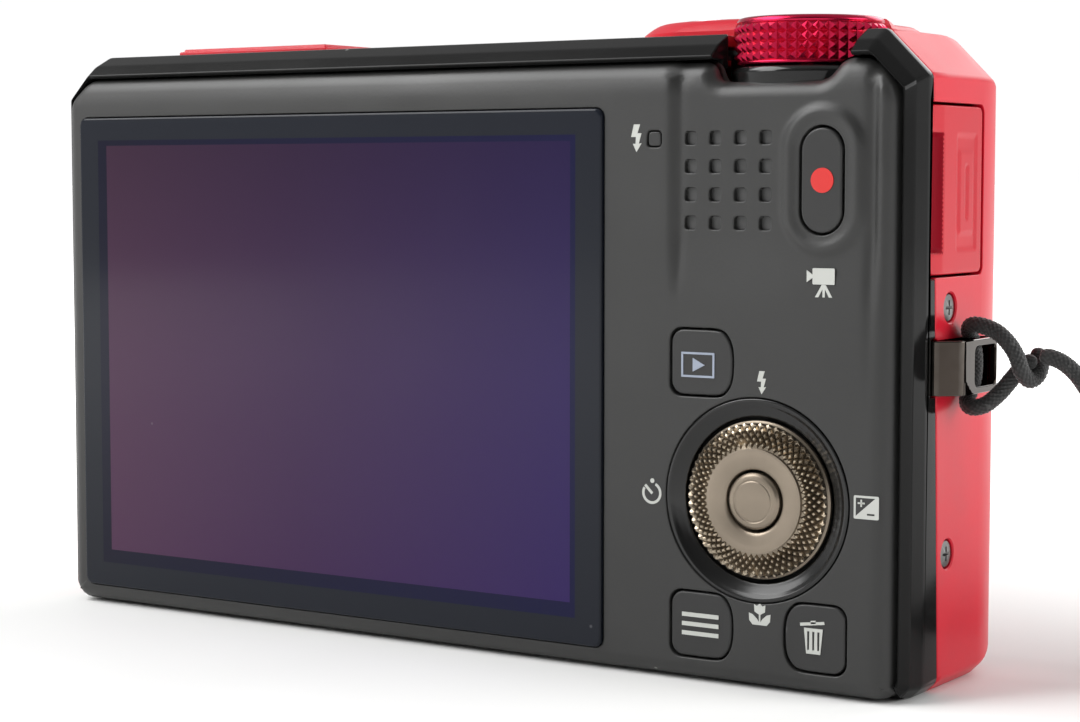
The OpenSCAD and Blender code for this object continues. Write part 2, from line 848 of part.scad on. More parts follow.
module battery_door() {
  color([0.72, 0.05, 0.1])
  difference() {
    union() {
      intersection() {
        shell_form();
        union() {
          box([13.4, -3.6, -1], [48.9, 5.6, 1.6]);
          box([13.4, 5.5, -1], [47.6, 10.2, 1.6]);
        }
      }
      intersection() {
        xz_knuckle();
        box([48, -3.6, -1], [50, 5.6, 3]);
      }
    }
    translate([48.9, 9, 0.8]) rotate([90, 0, 0]) cylinder(h = 14, r = 0.45, $fn = 32);
    box([14.4, 0.9, -1], [22.5, 4.9, 0.9]);
  }
}

module xz_knuckle() {
  translate([48.9, 6, 0.8]) rotate([90, 0, 0]) cylinder(h = 10, r = 0.8, $fn = 48);
}

module door_pin() {
  color([0.7, 0.7, 0.72])
  translate([48.9, 6.4, 0.8]) rotate([90, 0, 0]) cylinder(h = 10.6, r = 0.4, $fn = 32);
}

module door_latch() {
  color([0.08, 0.08, 0.08])
  difference() {
    box([14.8, 1.1, 0.15], [19.6, 4.7, 0.85]);
    for (x = [15.8, 17.2, 18.6]) {
      box([x - 0.2, 1.6, 0], [x + 0.2, 4.2, 0.35]);
    }
  }
}

module tripod_socket() {
  color([0.75, 0.75, 0.77])
  difference() {
    union() {
      zcyl(0, 0, 4.8, 0, 1.4);
      zcyl(0, 0, 4, 1.4, 6.6);
    }
    zcyl(0, 0, 2.6, -1, 5.5);
  }
}

module screws() {
  color([0.5, 0.5, 0.52])
  at_screws() screw();
}

// ---------------------------------------------------------------- strap

module strap_lug() {
  color([0.7, 0.66, 0.6])
  difference() {
    translate([0, 0, 28.2]) linear_extrude(5.1) polygon([
      [50.3, -6.85], [52.9, -6.85], [54.9, -5.2], [54.9, 2.6], [54.5, 3.1], [50.3, 3.1]
    ]);
    translate([0, 0, 27]) linear_extrude(8) polygon([
      [50.8, -6.35], [52.7, -6.35], [54.4, -4.95], [54.4, 2.6], [50.8, 2.6]
    ]);
    box([53.5, -2.6, 28.8], [56, 2.4, 32.7]);
  }
}

module strap_hitch() {
  color([0.05, 0.05, 0.05])
  cord(hitch_path, cord_d / 2);
}

module strap_cord() {
  color([0.05, 0.05, 0.05])
  cord(cord_path, cord_d / 2);
}

module strap_slider() {
  color([0.06, 0.06, 0.06])
  difference() {
    union() {
      box([70, 14, 0.1], [71.9, 22, 3.7]);
      ycyl(70, 1.9, 1.8, 14, 22, 48);
      ycyl(71.9, 1.9, 1.8, 14, 22, 48);
    }
    ycyl(70, 1.9, 0.85, 13, 23, 32);
    ycyl(71.9, 1.9, 0.85, 13, 23, 32);
  }
}

module race_track(r, z0, z1) {
  h = turns_straight / 2;
  box([turns_x - r, turns_y - h, z0], [turns_x + r, turns_y + h, z1]);
  zcyl(turns_x, turns_y - h, r, z0, z1, 96);
  zcyl(turns_x, turns_y + h, r, z0, z1, 96);
}

module strap_turns() {
  color([0.05, 0.05, 0.05])
  difference() {
    union() {
      race_track(turns_r, 0.05, 3.2);
      box([69.2, 22, 0.4], [72.7, 28, 3.2]);
    }
    race_track(turns_in, -1, 4);
  }
}

front_shell();
mid_band();
rear_cover();
chassis();
front_grip();
display_glass();
display_panel();
main_board();
lens_housing();
lens_bezel();
outer_barrel();
middle_barrel();
inner_barrel();
front_ring();
front_lens();
zoom_lens();
rear_lens();
image_sensor();
blade_top_near();
blade_top_far();
blade_low_near();
blade_low_far();
flash_cover();
flash_head();
flash_window();
flash_reflector();
flash_capacitor();
mode_dial();
dial_base();
zoom_lever();
shutter_button();
power_button();
movie_button();
play_button();
menu_button();
delete_button();
selector_ring();
selector_wheel();
centre_button();
control_board();
speaker();
ready_lamp();
focus_lamp();
connector_door();
hdmi_port();
usb_cover();
usb_port();
battery_bay();
battery();
memory_card();
battery_door();
door_pin();
door_latch();
tripod_socket();
screws();
strap_lug();
strap_hitch();
strap_cord();
strap_slider();
strap_turns();
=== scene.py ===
import bmesh
import bpy
import math
import numpy as np
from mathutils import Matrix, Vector, kdtree
from mathutils.geometry import delaunay_2d_cdt, tessellate_polygon


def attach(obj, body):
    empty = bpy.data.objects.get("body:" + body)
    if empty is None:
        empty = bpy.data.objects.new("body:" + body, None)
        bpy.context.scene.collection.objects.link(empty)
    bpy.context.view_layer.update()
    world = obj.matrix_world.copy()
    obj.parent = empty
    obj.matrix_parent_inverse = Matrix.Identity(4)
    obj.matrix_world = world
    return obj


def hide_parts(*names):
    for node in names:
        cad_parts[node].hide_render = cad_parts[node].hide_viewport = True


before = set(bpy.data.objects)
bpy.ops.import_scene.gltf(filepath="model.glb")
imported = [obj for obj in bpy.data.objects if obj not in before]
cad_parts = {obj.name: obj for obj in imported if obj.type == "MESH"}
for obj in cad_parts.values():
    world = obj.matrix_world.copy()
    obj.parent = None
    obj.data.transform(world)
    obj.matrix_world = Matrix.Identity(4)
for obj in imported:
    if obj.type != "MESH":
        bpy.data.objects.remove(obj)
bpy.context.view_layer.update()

MM = 0.001
TAU = 2.0 * math.pi
SCENE = bpy.context.scene


# ------------ camera

camera_data = bpy.data.cameras.new("camera")
camera_data.lens = 79.24
camera_data.sensor_width = 36.0
camera_data.clip_start = 0.01
camera_data.clip_end = 60.0
camera = bpy.data.objects.new("camera", camera_data)
camera.location = (0.14252, -0.20876, 0.04801)
camera.rotation_euler = (math.radians(85.664), 0.0, math.radians(33.433))
SCENE.collection.objects.link(camera)
SCENE.camera = camera


# ------------ materials

def rgb(value):
    """A colour as given, or a grey from one number."""
    return value if isinstance(value, tuple) else (value, value, value)


def node(tree, kind, inputs, **settings):
    """The outputs of a new shader node; each input is a socket to link or a constant."""
    made = tree.nodes.new("ShaderNode" + kind)
    for key, value in settings.items():
        setattr(made, key, value)
    for key, value in inputs.items():
        if isinstance(value, bpy.types.NodeSocket):
            tree.links.new(value, made.inputs[key])
        else:
            made.inputs[key].default_value = value
    return made.outputs


def here(tree):
    """The object's own coordinates, in metres."""
    return node(tree, "TexCoord", {})["Object"]


def noise(tree, scale, detail, stretch=None):
    place = here(tree)
    if stretch:
        place = node(tree, "Mapping", {"Vector": place, "Scale": stretch})["Vector"]
    return node(tree, "TexNoise", {"Scale": scale, "Detail": detail, "Vector": place})["Fac"]


def ramp(tree, fac, *stops):
    """Colour ramp: stops are (position, colour or grey)."""
    made = tree.nodes.new("ShaderNodeValToRGB")
    elements = made.color_ramp.elements
    while len(elements) < len(stops):
        elements.new(0.5)
    for element, (position, colour) in zip(elements, stops):
        element.position = position
        element.color = (*rgb(colour), 1.0)
    tree.links.new(fac, made.inputs["Fac"])
    return made.outputs["Color"]


def mix(tree, fac, first, second, blend="MIX"):
    """Mix of two colours by a mask; each colour is a socket, a colour or a grey."""
    inputs = {"Factor": fac}
    for index, value in ((6, first), (7, second)):
        inputs[index] = value if isinstance(value, bpy.types.NodeSocket) else (*rgb(value), 1.0)
    return node(tree, "Mix", inputs, data_type="RGBA", blend_type=blend)[2]


def times(tree, first, second):
    return node(tree, "Math", {0: first, 1: second}, operation="MULTIPLY")["Value"]


def specks(tree, scale, edge, share, strength):
    """Mask of sparse round dust specks: edge is where they fade out, share how many there are."""
    cell = node(tree, "TexVoronoi", {"Scale": scale, "Vector": here(tree)})
    chance = node(tree, "SeparateColor", {"Color": cell["Color"]})["Red"]
    spot = ramp(tree, cell["Distance"], (edge[0], 1.0), (edge[1], 0.0))
    return times(tree, spot, ramp(tree, chance, (1.0 - share, 0.0), (1.005 - share, strength)))


def shade_tree(name, sockets):
    """A new material, its node tree and its Principled shader with constant sockets set."""
    mat = bpy.data.materials.new(name)
    mat.use_nodes = True
    shader = mat.node_tree.nodes["Principled BSDF"]
    for key, value in sockets.items():
        shader.inputs[key.replace("_", " ")].default_value = value
    return mat, mat.node_tree, shader


def surface(name, base, rough, grain=2500.0, depth=0.004, tone=0.12, tone_scale=90.0, blotch=0.06,
            dust=0.0, wear_and_edge_highlight=None, painted_valley_shade=None, **sockets):
    """Finish with colour variation, roughness smudges, fine grain, lighter edges (edge wear and painted edge
    highlight), darker hollows (painted shade) and dust specks.
    """
    mat, tree, shader = shade_tree(name, sockets)
    colour = ramp(tree, noise(tree, tone_scale, 4.0), *[
        (place, tuple(min(1.0, c * factor) for c in rgb(base)))
        for place, factor in ((0.3, 1.0 - tone), (0.7, 1.0 + tone))])
    # Lighter convex edges by pointiness: partly edge wear, partly painted highlight on edges and tips.
    if wear_and_edge_highlight:
        edge = ramp(tree, node(tree, "NewGeometry", {})["Pointiness"], (0.53, 0.0), (0.62, 0.8))
        colour = mix(tree, times(tree, edge, noise(tree, 700.0, 2.0)), colour, wear_and_edge_highlight)
    # Darker hollows by pointiness: painted shade in valleys between ridges and strands.
    if painted_valley_shade:
        low = ramp(tree, node(tree, "NewGeometry", {})["Pointiness"], (0.44, 1.0), (0.56, 0.0))
        colour = mix(tree, low, colour, painted_valley_shade)
    if dust:
        colour = mix(tree, specks(tree, 420.0, (0.05, 0.1), dust, 0.7), colour, (0.42, 0.42, 0.41))
    tree.links.new(colour, shader.inputs["Base Color"])
    smudge = ramp(tree, noise(tree, 45.0, 5.0), (0.3, max(0.02, rough - blotch)), (0.7, rough + blotch))
    tree.links.new(smudge, shader.inputs["Roughness"])
    if grain:
        bump = node(tree, "Bump", {"Strength": 0.6, "Distance": depth * MM, "Height": noise(tree, grain, 2.0)})
        tree.links.new(bump["Normal"], shader.inputs["Normal"])
    return mat


M = {
    "cover": surface("cover_black", (0.0185, 0.0185, 0.018), 0.42, 3200.0, 0.016, dust=0.03,
                     wear_and_edge_highlight=(0.11, 0.11, 0.105), tone=0.14),
    "button": surface("button_black", 0.013, 0.4, 3200.0, 0.01, dust=0.02, wear_and_edge_highlight=0.1),
    "band": surface("band_gloss_black", 0.007, 0.14, 900.0, 0.002, dust=0.02, blotch=0.05,
                    Specular_IOR_Level=0.09),
    "ring": surface("ring_gloss_black", 0.009, 0.16, 900.0, 0.002, blotch=0.05, Specular_IOR_Level=0.4),
    "red": surface("red_paint", (0.55, 0.005, 0.021), 0.36, 2600.0, 0.006, tone=0.06, dust=0.015,
                   Specular_IOR_Level=0.3),
    "red_plastic": surface("red_plastic", (0.47, 0.003, 0.014), 0.36, 2600.0, 0.006, tone=0.06,
                           dust=0.006, Specular_IOR_Level=0.26),
    # Darker red for the door's finger scoop: painted shade in the recess.
    "red_scoop_shade": surface("red_scoop_painted_shade", (0.2, 0.001, 0.008), 0.5, 2600.0, 0.006, tone=0.08,
                        Specular_IOR_Level=0.04),
    "anodised": surface("red_anodised", (0.47, 0.011, 0.05), 0.24, 1500.0, Metallic=0.9, tone=0.08),
    # Knurl: the pale edge colour paints highlights on the pyramid tops, and the near-black hollow colour paints
    # shade between them.
    "champagne": surface("champagne_knurl", (0.3, 0.25, 0.19), 0.2, 1700.0, Metallic=0.95, tone=0.25,
                         tone_scale=260.0, wear_and_edge_highlight=(0.8, 0.68, 0.52), painted_valley_shade=(0.02, 0.016, 0.012)),
    "spun": surface("champagne_spun", (0.25, 0.208, 0.162), 0.32, 2400.0, Metallic=0.85, tone=0.1,
                    tone_scale=160.0),
    # Lug plating: the very dark base colour paints the dark reflection on the metal; the pale edge colour is
    # painted edge highlight, partly wear.
    "nickel": surface("nickel_plate_painted_reflection", (0.04, 0.032, 0.027), 0.1, 500.0, 0.003, Metallic=1.0,
                      wear_and_edge_highlight=(0.9, 0.87, 0.8)),
    "satin": surface("satin_metal", (0.62, 0.62, 0.63), 0.3, 1500.0, 0.003, Metallic=1.0, tone=0.06),
    "screw": surface("screw_steel", (0.15, 0.148, 0.145), 0.34, 1800.0, Metallic=0.9, tone=0.15, wear_and_edge_highlight=0.5),
    "dark": surface("recess_black", 0.008, 0.7, 2000.0, 0.006),
    "print": surface("white_print", (0.5, 0.51, 0.48), 0.6, tone=0.05),
    "print_blue": surface("blue_grey_print", (0.3, 0.34, 0.42), 0.6, tone=0.05),
    "print_red": surface("red_print", (0.62, 0.015, 0.012), 0.45, tone=0.04),
    "rubber": surface("black_rubber", 0.022, 0.62, 2200.0, 0.014, tone=0.15),
    "barrel": surface("barrel_black", (0.02, 0.02, 0.021), 0.34, 2600.0, 0.005, tone=0.1),
    "blade": surface("blade_black", (0.012, 0.012, 0.013), 0.5, 2600.0, Metallic=0.3),
    "frame": surface("zinc_sheet", (0.42, 0.42, 0.44), 0.4, 900.0, Metallic=0.9, tone=0.15),
    "board": surface("green_board", (0.005, 0.035, 0.016), 0.4, 1500.0, 0.006, tone=0.25,
                     tone_scale=500.0),
    "sensor": surface("sensor_face", (0.06, 0.04, 0.12), 0.12, None, Metallic=0.4, tone=0.5,
                      tone_scale=260.0),
    "reflector": surface("reflector", (0.85, 0.85, 0.86), 0.1, 300.0, 0.006, Metallic=1.0, tone=0.05),
    "amber": surface("amber_lens", (0.55, 0.2, 0.03), 0.14, 700.0),
    "sleeve": surface("capacitor_sleeve", (0.02, 0.02, 0.04), 0.22, 700.0),
    "cell": surface("battery_case", (0.07, 0.07, 0.075), 0.45, 2200.0, 0.006, tone=0.15),
    "card": surface("card_case", (0.015, 0.03, 0.16), 0.42, 2200.0, 0.006, tone=0.1),
    # Cord: the lighter crown colour is partly painted highlight on the strands, and the near-black hollow
    # colour is painted shade between them.
    "cord": surface("braided_cord", 0.016, 0.66, 9000.0, 0.02, tone=0.3, tone_scale=1600.0,
                    wear_and_edge_highlight=(0.09, 0.09, 0.088), painted_valley_shade=0.002, Sheen_Weight=0.35, Sheen_Roughness=0.5),
    "glass": surface("lens_glass", (0.02, 0.03, 0.06), 0.04, None, tone=0.4, tone_scale=60.0,
                     Coat_Weight=0.8, Coat_Roughness=0.02),
    "clear": surface("clear_plastic", (0.7, 0.72, 0.74), 0.12, 400.0, tone=0.04,
                     Transmission_Weight=0.6, Coat_Weight=0.5),
}


def display_material():
    """Glass front: a printed black border, a navy margin and a dim violet picture area, by position."""
    mat, tree, shader = shade_tree("display_glass_front", {
        "Metallic": 0.0, "Coat Weight": 0.06, "Coat Roughness": 0.04, "Specular IOR Level": 0.14})
    place = node(tree, "SeparateXYZ", {"Vector": here(tree)})

    def inside(low_x, high_x, low_z, high_z):
        masks = [node(tree, "Math", {0: place[axis], 1: limit * MM}, operation=operation)["Value"]
                 for axis, low, high in (("X", low_x, high_x), ("Z", low_z, high_z))
                 for limit, operation in ((low, "GREATER_THAN"), (high, "LESS_THAN"))]
        return times(tree, times(tree, masks[0], masks[1]), times(tree, masks[2], masks[3]))

    def span(axis, low, high, *stops):
        share = node(tree, "MapRange", {"From Min": low * MM, "From Max": high * MM, "Value": place[axis]})
        return ramp(tree, share["Result"], *stops)

    across = span("X", -46.0, 17.0, (0.0, (0.066, 0.026, 0.06)), (0.45, (0.043, 0.017, 0.062)),
                  (1.0, (0.026, 0.013, 0.085)))
    up = span("Z", 5.0, 52.0, (0.0, 1.0), (0.5, 0.85), (1.0, 0.5))
    navy = span("X", -49.0, 20.0, (0.0, (0.004, 0.004, 0.014)), (1.0, (0.005, 0.005, 0.035)))
    colour = mix(tree, inside(-46.2, 17.3, 4.9, 52.5), (0.011, 0.013, 0.019), navy)
    colour = mix(tree, inside(-44.9, 16.7, 6.4, 51.9), colour, mix(tree, 1.0, across, up, "MULTIPLY"))
    colour = mix(tree, specks(tree, 260.0, (0.03, 0.07), 0.035, 0.35), colour, (0.4, 0.4, 0.42))
    tree.links.new(colour, shader.inputs["Base Color"])
    smear = ramp(tree, noise(tree, 30.0, 6.0, (1.0, 1.0, 0.3)), (0.35, 0.07), (0.7, 0.22))
    tree.links.new(smear, shader.inputs["Roughness"])
    return mat


M["display"] = display_material()


# ------------ mesh tools

def smooth_normals(mesh, angle, near=1e-8):
    """Outward faces, smooth shading, and sharp edges above an angle in degrees."""
    bm = bmesh.new()
    bm.from_mesh(mesh)
    bmesh.ops.remove_doubles(bm, verts=bm.verts, dist=near)
    bmesh.ops.dissolve_degenerate(bm, dist=1e-8, edges=bm.edges)
    bmesh.ops.recalc_face_normals(bm, faces=bm.faces)
    if bm.calc_volume(signed=True) < 0:
        bmesh.ops.reverse_faces(bm, faces=bm.faces)
    limit = math.radians(angle)
    for face in bm.faces:
        face.smooth = True
    for edge in bm.edges:
        edge.smooth = edge.calc_face_angle(0.0) < limit
    bm.to_mesh(mesh)
    bm.free()


def raw_object(name, verts, faces):
    """A linked object from points in millimetres."""
    mesh = bpy.data.meshes.new(name)
    mesh.from_pydata([tuple(v) for v in np.asarray(verts, float) * MM], [], faces)
    obj = bpy.data.objects.new(name, mesh)
    SCENE.collection.objects.link(obj)
    return obj


def add(name, solid, body, mat, replaces=(), angle=38.0, weighted=True):
    """A finished piece from (verts, faces). It rides on a body and may stand for CAD nodes."""
    obj = raw_object(name, *solid)
    obj.data.validate()
    smooth_normals(obj.data, angle)
    obj.data.materials.append(M[mat])
    if weighted:
        obj.modifiers.new("even_normals", "WEIGHTED_NORMAL").keep_sharp = True
    if body:
        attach(obj, body)
    if replaces:
        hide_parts(*replaces)
    return obj


def join(*parts):
    """Several (verts, faces) as one."""
    verts, faces = [], []
    for part_verts, part_faces in parts:
        faces.extend([tuple(i + len(verts) for i in face) for face in part_faces])
        verts.extend(tuple(v) for v in part_verts)
    return verts, faces


def belt(first, second):
    """Quads between two closed rings of point numbers."""
    return [(first[i - 1], first[i], second[i], second[i - 1]) for i in range(len(first))]


def loft(rings, ends="caps"):
    """Skin through rings of equal count: capped ends, the last ring joined to the first, or left open."""
    count = len(rings[0])
    verts = [tuple(p) for ring in rings for p in ring]
    rows = [range(k * count, (k + 1) * count) for k in range(len(rings))]
    faces = []
    for first, second in zip(rows, rows[1:] + (rows[:1] if ends == "joined" else [])):
        faces += [(first[i], first[(i + 1) % count], second[(i + 1) % count], second[i]) for i in range(count)]
    if ends == "caps":
        faces += [tuple(reversed(rows[0])), tuple(rows[-1])]
    return verts, faces


def lathe(profile, place, segments=160):
    """Turned solid: profile is (radius, height) points, place(radius vector u, v, height) -> point."""
    angles = [TAU * i / segments for i in range(segments)]
    profile = [(r if r > 0.02 else 0.0, h) for r, h in profile]
    rings = [[place(r * math.cos(a), r * math.sin(a), h) for a in angles] for r, h in profile]
    return loft(rings, "joined" if profile[0][0] and profile[-1][0] else "open")


def along_y(x, z):
    """Place for a part turned about an axis along Y."""
    return lambda u, v, h: (x + u, h, z + v)


def along_z(x, y):
    return lambda u, v, h: (x + u, y + v, h)


def along_x(y, z):
    return lambda u, v, h: (h, y + u, z + v)


def eased(profile, radius=0.12, steps=3):
    """Rounds the corners of an open profile."""
    points = [np.array(p, float) for p in profile]
    out = [tuple(points[0])]
    for a, b, c in zip(points, points[1:], points[2:]):
        back, ahead = a - b, c - b
        reach = min(radius, 0.45 * np.linalg.norm(back), 0.45 * np.linalg.norm(ahead))
        start = b + back / np.linalg.norm(back) * reach
        end = b + ahead / np.linalg.norm(ahead) * reach
        for k in range(steps + 1):
            t = k / steps
            out.append(tuple((1 - t) ** 2 * start + 2 * t * (1 - t) * b + t * t * end))
    return out + [tuple(points[-1])]


def rounded(points, radii, steps=6):
    """Closed polygon with rounded corners, as an array of 2D points."""
    points = np.array(points, float)
    count = len(points)
    radii = np.broadcast_to(radii, count)
    out = []
    for i in range(count):
        corner = points[i]
        back, ahead = points[i - 1] - corner, points[(i + 1) % count] - corner
        len_back, len_ahead = np.linalg.norm(back), np.linalg.norm(ahead)
        back, ahead = back / len_back, ahead / len_ahead
        inner = math.acos(max(-1.0, min(1.0, float(back @ ahead))))
        reach = min(radii[i] / math.tan(inner / 2), 0.49 * len_back, 0.49 * len_ahead)
        radius = reach * math.tan(inner / 2)
        middle = corner + (back + ahead) / np.linalg.norm(back + ahead) * (radius / math.sin(inner / 2))
        start, end = corner + back * reach - middle, corner + ahead * reach - middle
        sweep = math.copysign(math.pi - inner, start[0] * end[1] - start[1] * end[0])
        for k in range(steps + 1):
            c, s = math.cos(sweep * k / steps), math.sin(sweep * k / steps)
            out.append(middle + np.array([c * start[0] - s * start[1], s * start[0] + c * start[1]]))
    return np.array(out)


def rect(a0, a1, b0, b1, radius=0.3, steps=6):
    return rounded([(a0, b0), (a1, b0), (a1, b1), (a0, b1)], radius, steps)


def turned(x, z, radius, first, last, steps):
    """Points along part of a circle, angles in degrees."""
    angles = [math.radians(first + (last - first) * k / steps) for k in range(steps + 1)]
    return [(x + radius * math.cos(a), z + radius * math.sin(a)) for a in angles]


def stadium(x, low, high, radius):
    """Closed upright stadium."""
    return np.array(turned(x, low + radius, radius, 180, 360, 16)
                    + turned(x, high - radius, radius, 0, 180, 16))


def circle(x, z, radius, count=96):
    return np.array(turned(x, z, radius, 0, 360, count)[:-1])


def outward(loop):
    """Unit normals of a closed loop, pointing out of it."""
    ahead = np.roll(loop, -1, 0) - np.roll(loop, 1, 0)
    normals = np.stack([ahead[:, 1], -ahead[:, 0]], 1)
    normals /= np.linalg.norm(normals, axis=1)[:, None] + 1e-12
    area = np.sum(loop[:, 0] * np.roll(loop[:, 1], -1) - np.roll(loop[:, 0], -1) * loop[:, 1])
    return normals if area > 0 else -normals


def grown(loop, distance):
    """The loop moved outward by a distance, or inward by a negative one."""
    return loop + outward(loop) * distance


def refine(loop, spacing):
    """Adds points on long sides."""
    out = []
    for a, b in zip(loop, np.roll(loop, -1, 0)):
        pieces = max(1, int(np.linalg.norm(b - a) / spacing))
        out.extend(a + (b - a) * k / pieces for k in range(pieces))
    return np.array(out)


def holds(loop, points):
    """Which points lie inside the closed loop."""
    x, z = points[:, 0], points[:, 1]
    inside = np.zeros(len(points), bool)
    for (ax, az), (bx, bz) in zip(loop, np.roll(loop, -1, 0)):
        if az != bz:
            inside ^= ((az > z) != (bz > z)) & (x < ax + (z - az) / (bz - az) * (bx - ax))
    return inside


def step(value):
    """Smooth step from 0 to 1."""
    t = np.clip(value, 0.0, 1.0)
    return t * t * (3 - 2 * t)


def relief(outline, holes, grid, depth_of, edge=(), hole_edge=0.14, back=3.0):
    """Plate with a modelled face. Its outline, holes and grid are 2D; depth_of(points) is how far each lies
    behind the front plane; edge is the rounding (distance in, depth) of the rim; walls go back to a depth."""
    points, edges, extra = [], [], {}

    def put(loop, drop):
        base = len(points)
        points.extend(tuple(p) for p in loop)
        numbers = list(range(base, len(points)))
        edges.extend(zip(numbers, numbers[1:] + numbers[:1]))
        extra.update((number, drop) for number in numbers)
        return numbers

    rims = [put(outline, edge[0][1] if edge else 0.0)]
    for distance, depth in edge[1:]:
        put(grown(outline, -distance), depth)
    for hole in holes:
        rims.append(put(hole, hole_edge))
        for share in (0.35, 0.75, 1.3):
            drop = 1 - math.sqrt(max(0.0, 1 - (1 - min(1.0, share)) ** 2))
            put(grown(hole, hole_edge * share), hole_edge * drop)
    tree = kdtree.KDTree(len(points))
    for i, p in enumerate(points):
        tree.insert((*p, 0.0), i)
    tree.balance()
    keep = holds(grown(outline, -(edge[-1][0] if edge else 0.0)), grid[:, :2])
    for hole in holes:
        keep &= ~holds(grown(hole, hole_edge * 1.3), grid[:, :2])
    points += [(x, z) for x, z, gap in grid[keep] if tree.find((x, z, 0.0))[2] > gap]
    out, _, tris, origins, _, _ = delaunay_2d_cdt([Vector(p) for p in points], edges, [], 0, 1e-7)
    flat = np.array([(p.x, p.y) for p in out])
    corners = flat[np.array([list(t) for t in tris])]
    first, second = corners[:, 1] - corners[:, 0], corners[:, 2] - corners[:, 0]
    keep = holds(outline, corners.mean(1))
    keep &= np.abs(first[:, 0] * second[:, 1] - first[:, 1] * second[:, 0]) > 1e-6
    for hole in holes:
        keep &= ~holds(hole, corners.mean(1))
    faces = [tuple(t) for t, good in zip(tris, keep) if good]
    depth = np.asarray(depth_of(flat), float)
    new_of = {}
    for new, olds in enumerate(origins):
        for old in olds:
            new_of[old] = new
            depth[new] += extra.get(old, 0.0)
    used = sorted({i for face in faces for i in face})
    place = {old: new for new, old in enumerate(used)}
    faces = [tuple(place[i] for i in face) for face in faces]
    count = len(used)
    verts = [(*flat[i], depth[i]) for i in used] + [(*flat[i], back) for i in used]
    faces += [tuple(i + count for i in reversed(face)) for face in faces]
    for loop in rims:
        ring = [place[new_of[i]] for i in loop]
        faces += [(a, b, b + count, a + count) for a, b in zip(ring, ring[1:] + ring[:1]) if a != b]
    return verts, faces


def lattice(x0, x1, z0, z1, spacing):
    """Staggered grid of (x, z, gap kept from loops)."""
    rows = []
    for j, z in enumerate(np.arange(z0, z1, spacing * 0.87)):
        shift = 0.5 * spacing * (j % 2)
        rows.extend((x + shift, z, spacing * 0.55) for x in np.arange(x0, x1, spacing))
    return np.array(rows)


def block(low, high):
    """Closed box, for cutting."""
    (x0, y0, z0), (x1, y1, z1) = low, high
    return loft([[(x0, y0, z), (x1, y0, z), (x1, y1, z), (x0, y1, z)] for z in (z0, z1)])


def layers(rows, section):
    """Loft along Y: rows are (y, inset), section(inset) is the (x, z) loop."""
    return loft([[(x, y, z) for x, z in section(inset)] for y, inset in rows])


def cut(obj, *tools):
    """Takes tools, given as (verts, faces), out of a piece for good."""
    for tool_solid in tools:
        tool = raw_object("tool", *tool_solid)
        smooth_normals(tool.data, 30)
        others = list(obj.modifiers)
        for modifier in others:
            modifier.show_viewport = False
        modifier = obj.modifiers.new("cut", "BOOLEAN")
        modifier.operation = "DIFFERENCE"
        modifier.solver = "EXACT"
        modifier.object = tool
        bpy.context.view_layer.update()
        old = obj.data
        obj.data = bpy.data.meshes.new_from_object(obj.evaluated_get(bpy.context.evaluated_depsgraph_get()))
        obj.modifiers.remove(modifier)
        for modifier in others:
            modifier.show_viewport = True
        bpy.data.meshes.remove(old)
        bpy.data.objects.remove(tool)
    smooth_normals(obj.data, 30, 1e-6)


def bevelled(obj, width, angle, segments=2, clamp=False):
    """Small rounded edges, made before the normals are evened."""
    modifier = obj.modifiers.new("edges", "BEVEL")
    modifier.width = width * MM
    modifier.segments = segments
    modifier.limit_method = "ANGLE"
    modifier.angle_limit = math.radians(angle)
    modifier.use_clamp_overlap = clamp
    obj.modifiers.move(len(obj.modifiers) - 1, 0)


# ------------ wrist strap, made first

CORD_R = 0.75


def lengths(path):
    """Length along a route at each of its points."""
    return np.concatenate([[0], np.cumsum(np.linalg.norm(np.diff(path, axis=0), axis=1))])


def routed(points, spacing=0.1):
    """Smooth even route through points (Catmull-Rom), in millimetres."""
    p = np.array(points, float)
    p = np.vstack([2 * p[0] - p[1], p, 2 * p[-1] - p[-2]])
    fine = [0.5 * (2 * b + (c - a) * t + (2 * a - 5 * b + 4 * c - d) * t ** 2
                   + (3 * b - a - 3 * c + d) * t ** 3)
            for a, b, c, d in zip(p, p[1:], p[2:], p[3:]) for t in np.linspace(0, 1, 24, endpoint=False)]
    fine = np.array(fine + [p[-2]])
    run = lengths(fine)
    marks = np.linspace(0, run[-1], int(run[-1] / spacing))
    return np.stack([np.interp(marks, run, fine[:, k]) for k in range(3)], 1)


def braided(path, sides=48, strands=10, ends=0.6):
    """Braided cord along an even route: two families of strands pass over and under each other."""
    ahead = np.gradient(path, axis=0)
    ahead /= np.linalg.norm(ahead, axis=1)[:, None]
    side = np.cross(ahead[0], (0.13, 0.31, 0.94))
    across = []
    for t in ahead:
        side = side - t * (side @ t)
        side = side / np.linalg.norm(side)
        across.append(side)
    across = np.array(across)
    other = np.cross(ahead, across)
    run = lengths(path)
    twist = (run / (TAU * CORD_R / strands))[:, None]
    angle = np.arange(sides) * TAU / sides
    u = strands * angle[None, :] / TAU
    a, b = u + twist, u - twist
    over = (np.floor(a) + np.floor(b)) % 2 < 0.5
    first, second = np.sin(math.pi * (a % 1.0)), np.sin(math.pi * (b % 1.0))
    height = np.where(over, first * (0.4 + 0.6 * second), second * (0.4 + 0.6 * first))
    radius = CORD_R - 0.1 + 0.17 * height
    tail = np.clip(np.minimum(run, run[-1] - run) / ends, 0.02, 1)
    radius *= np.sqrt(np.clip(1 - (1 - tail) ** 2, 0.02, 1))[:, None]
    return loft(list(path[:, None, :] + radius[:, :, None] * (
        np.cos(angle)[None, :, None] * across[:, None, :] + np.sin(angle)[None, :, None] * other[:, None, :])))


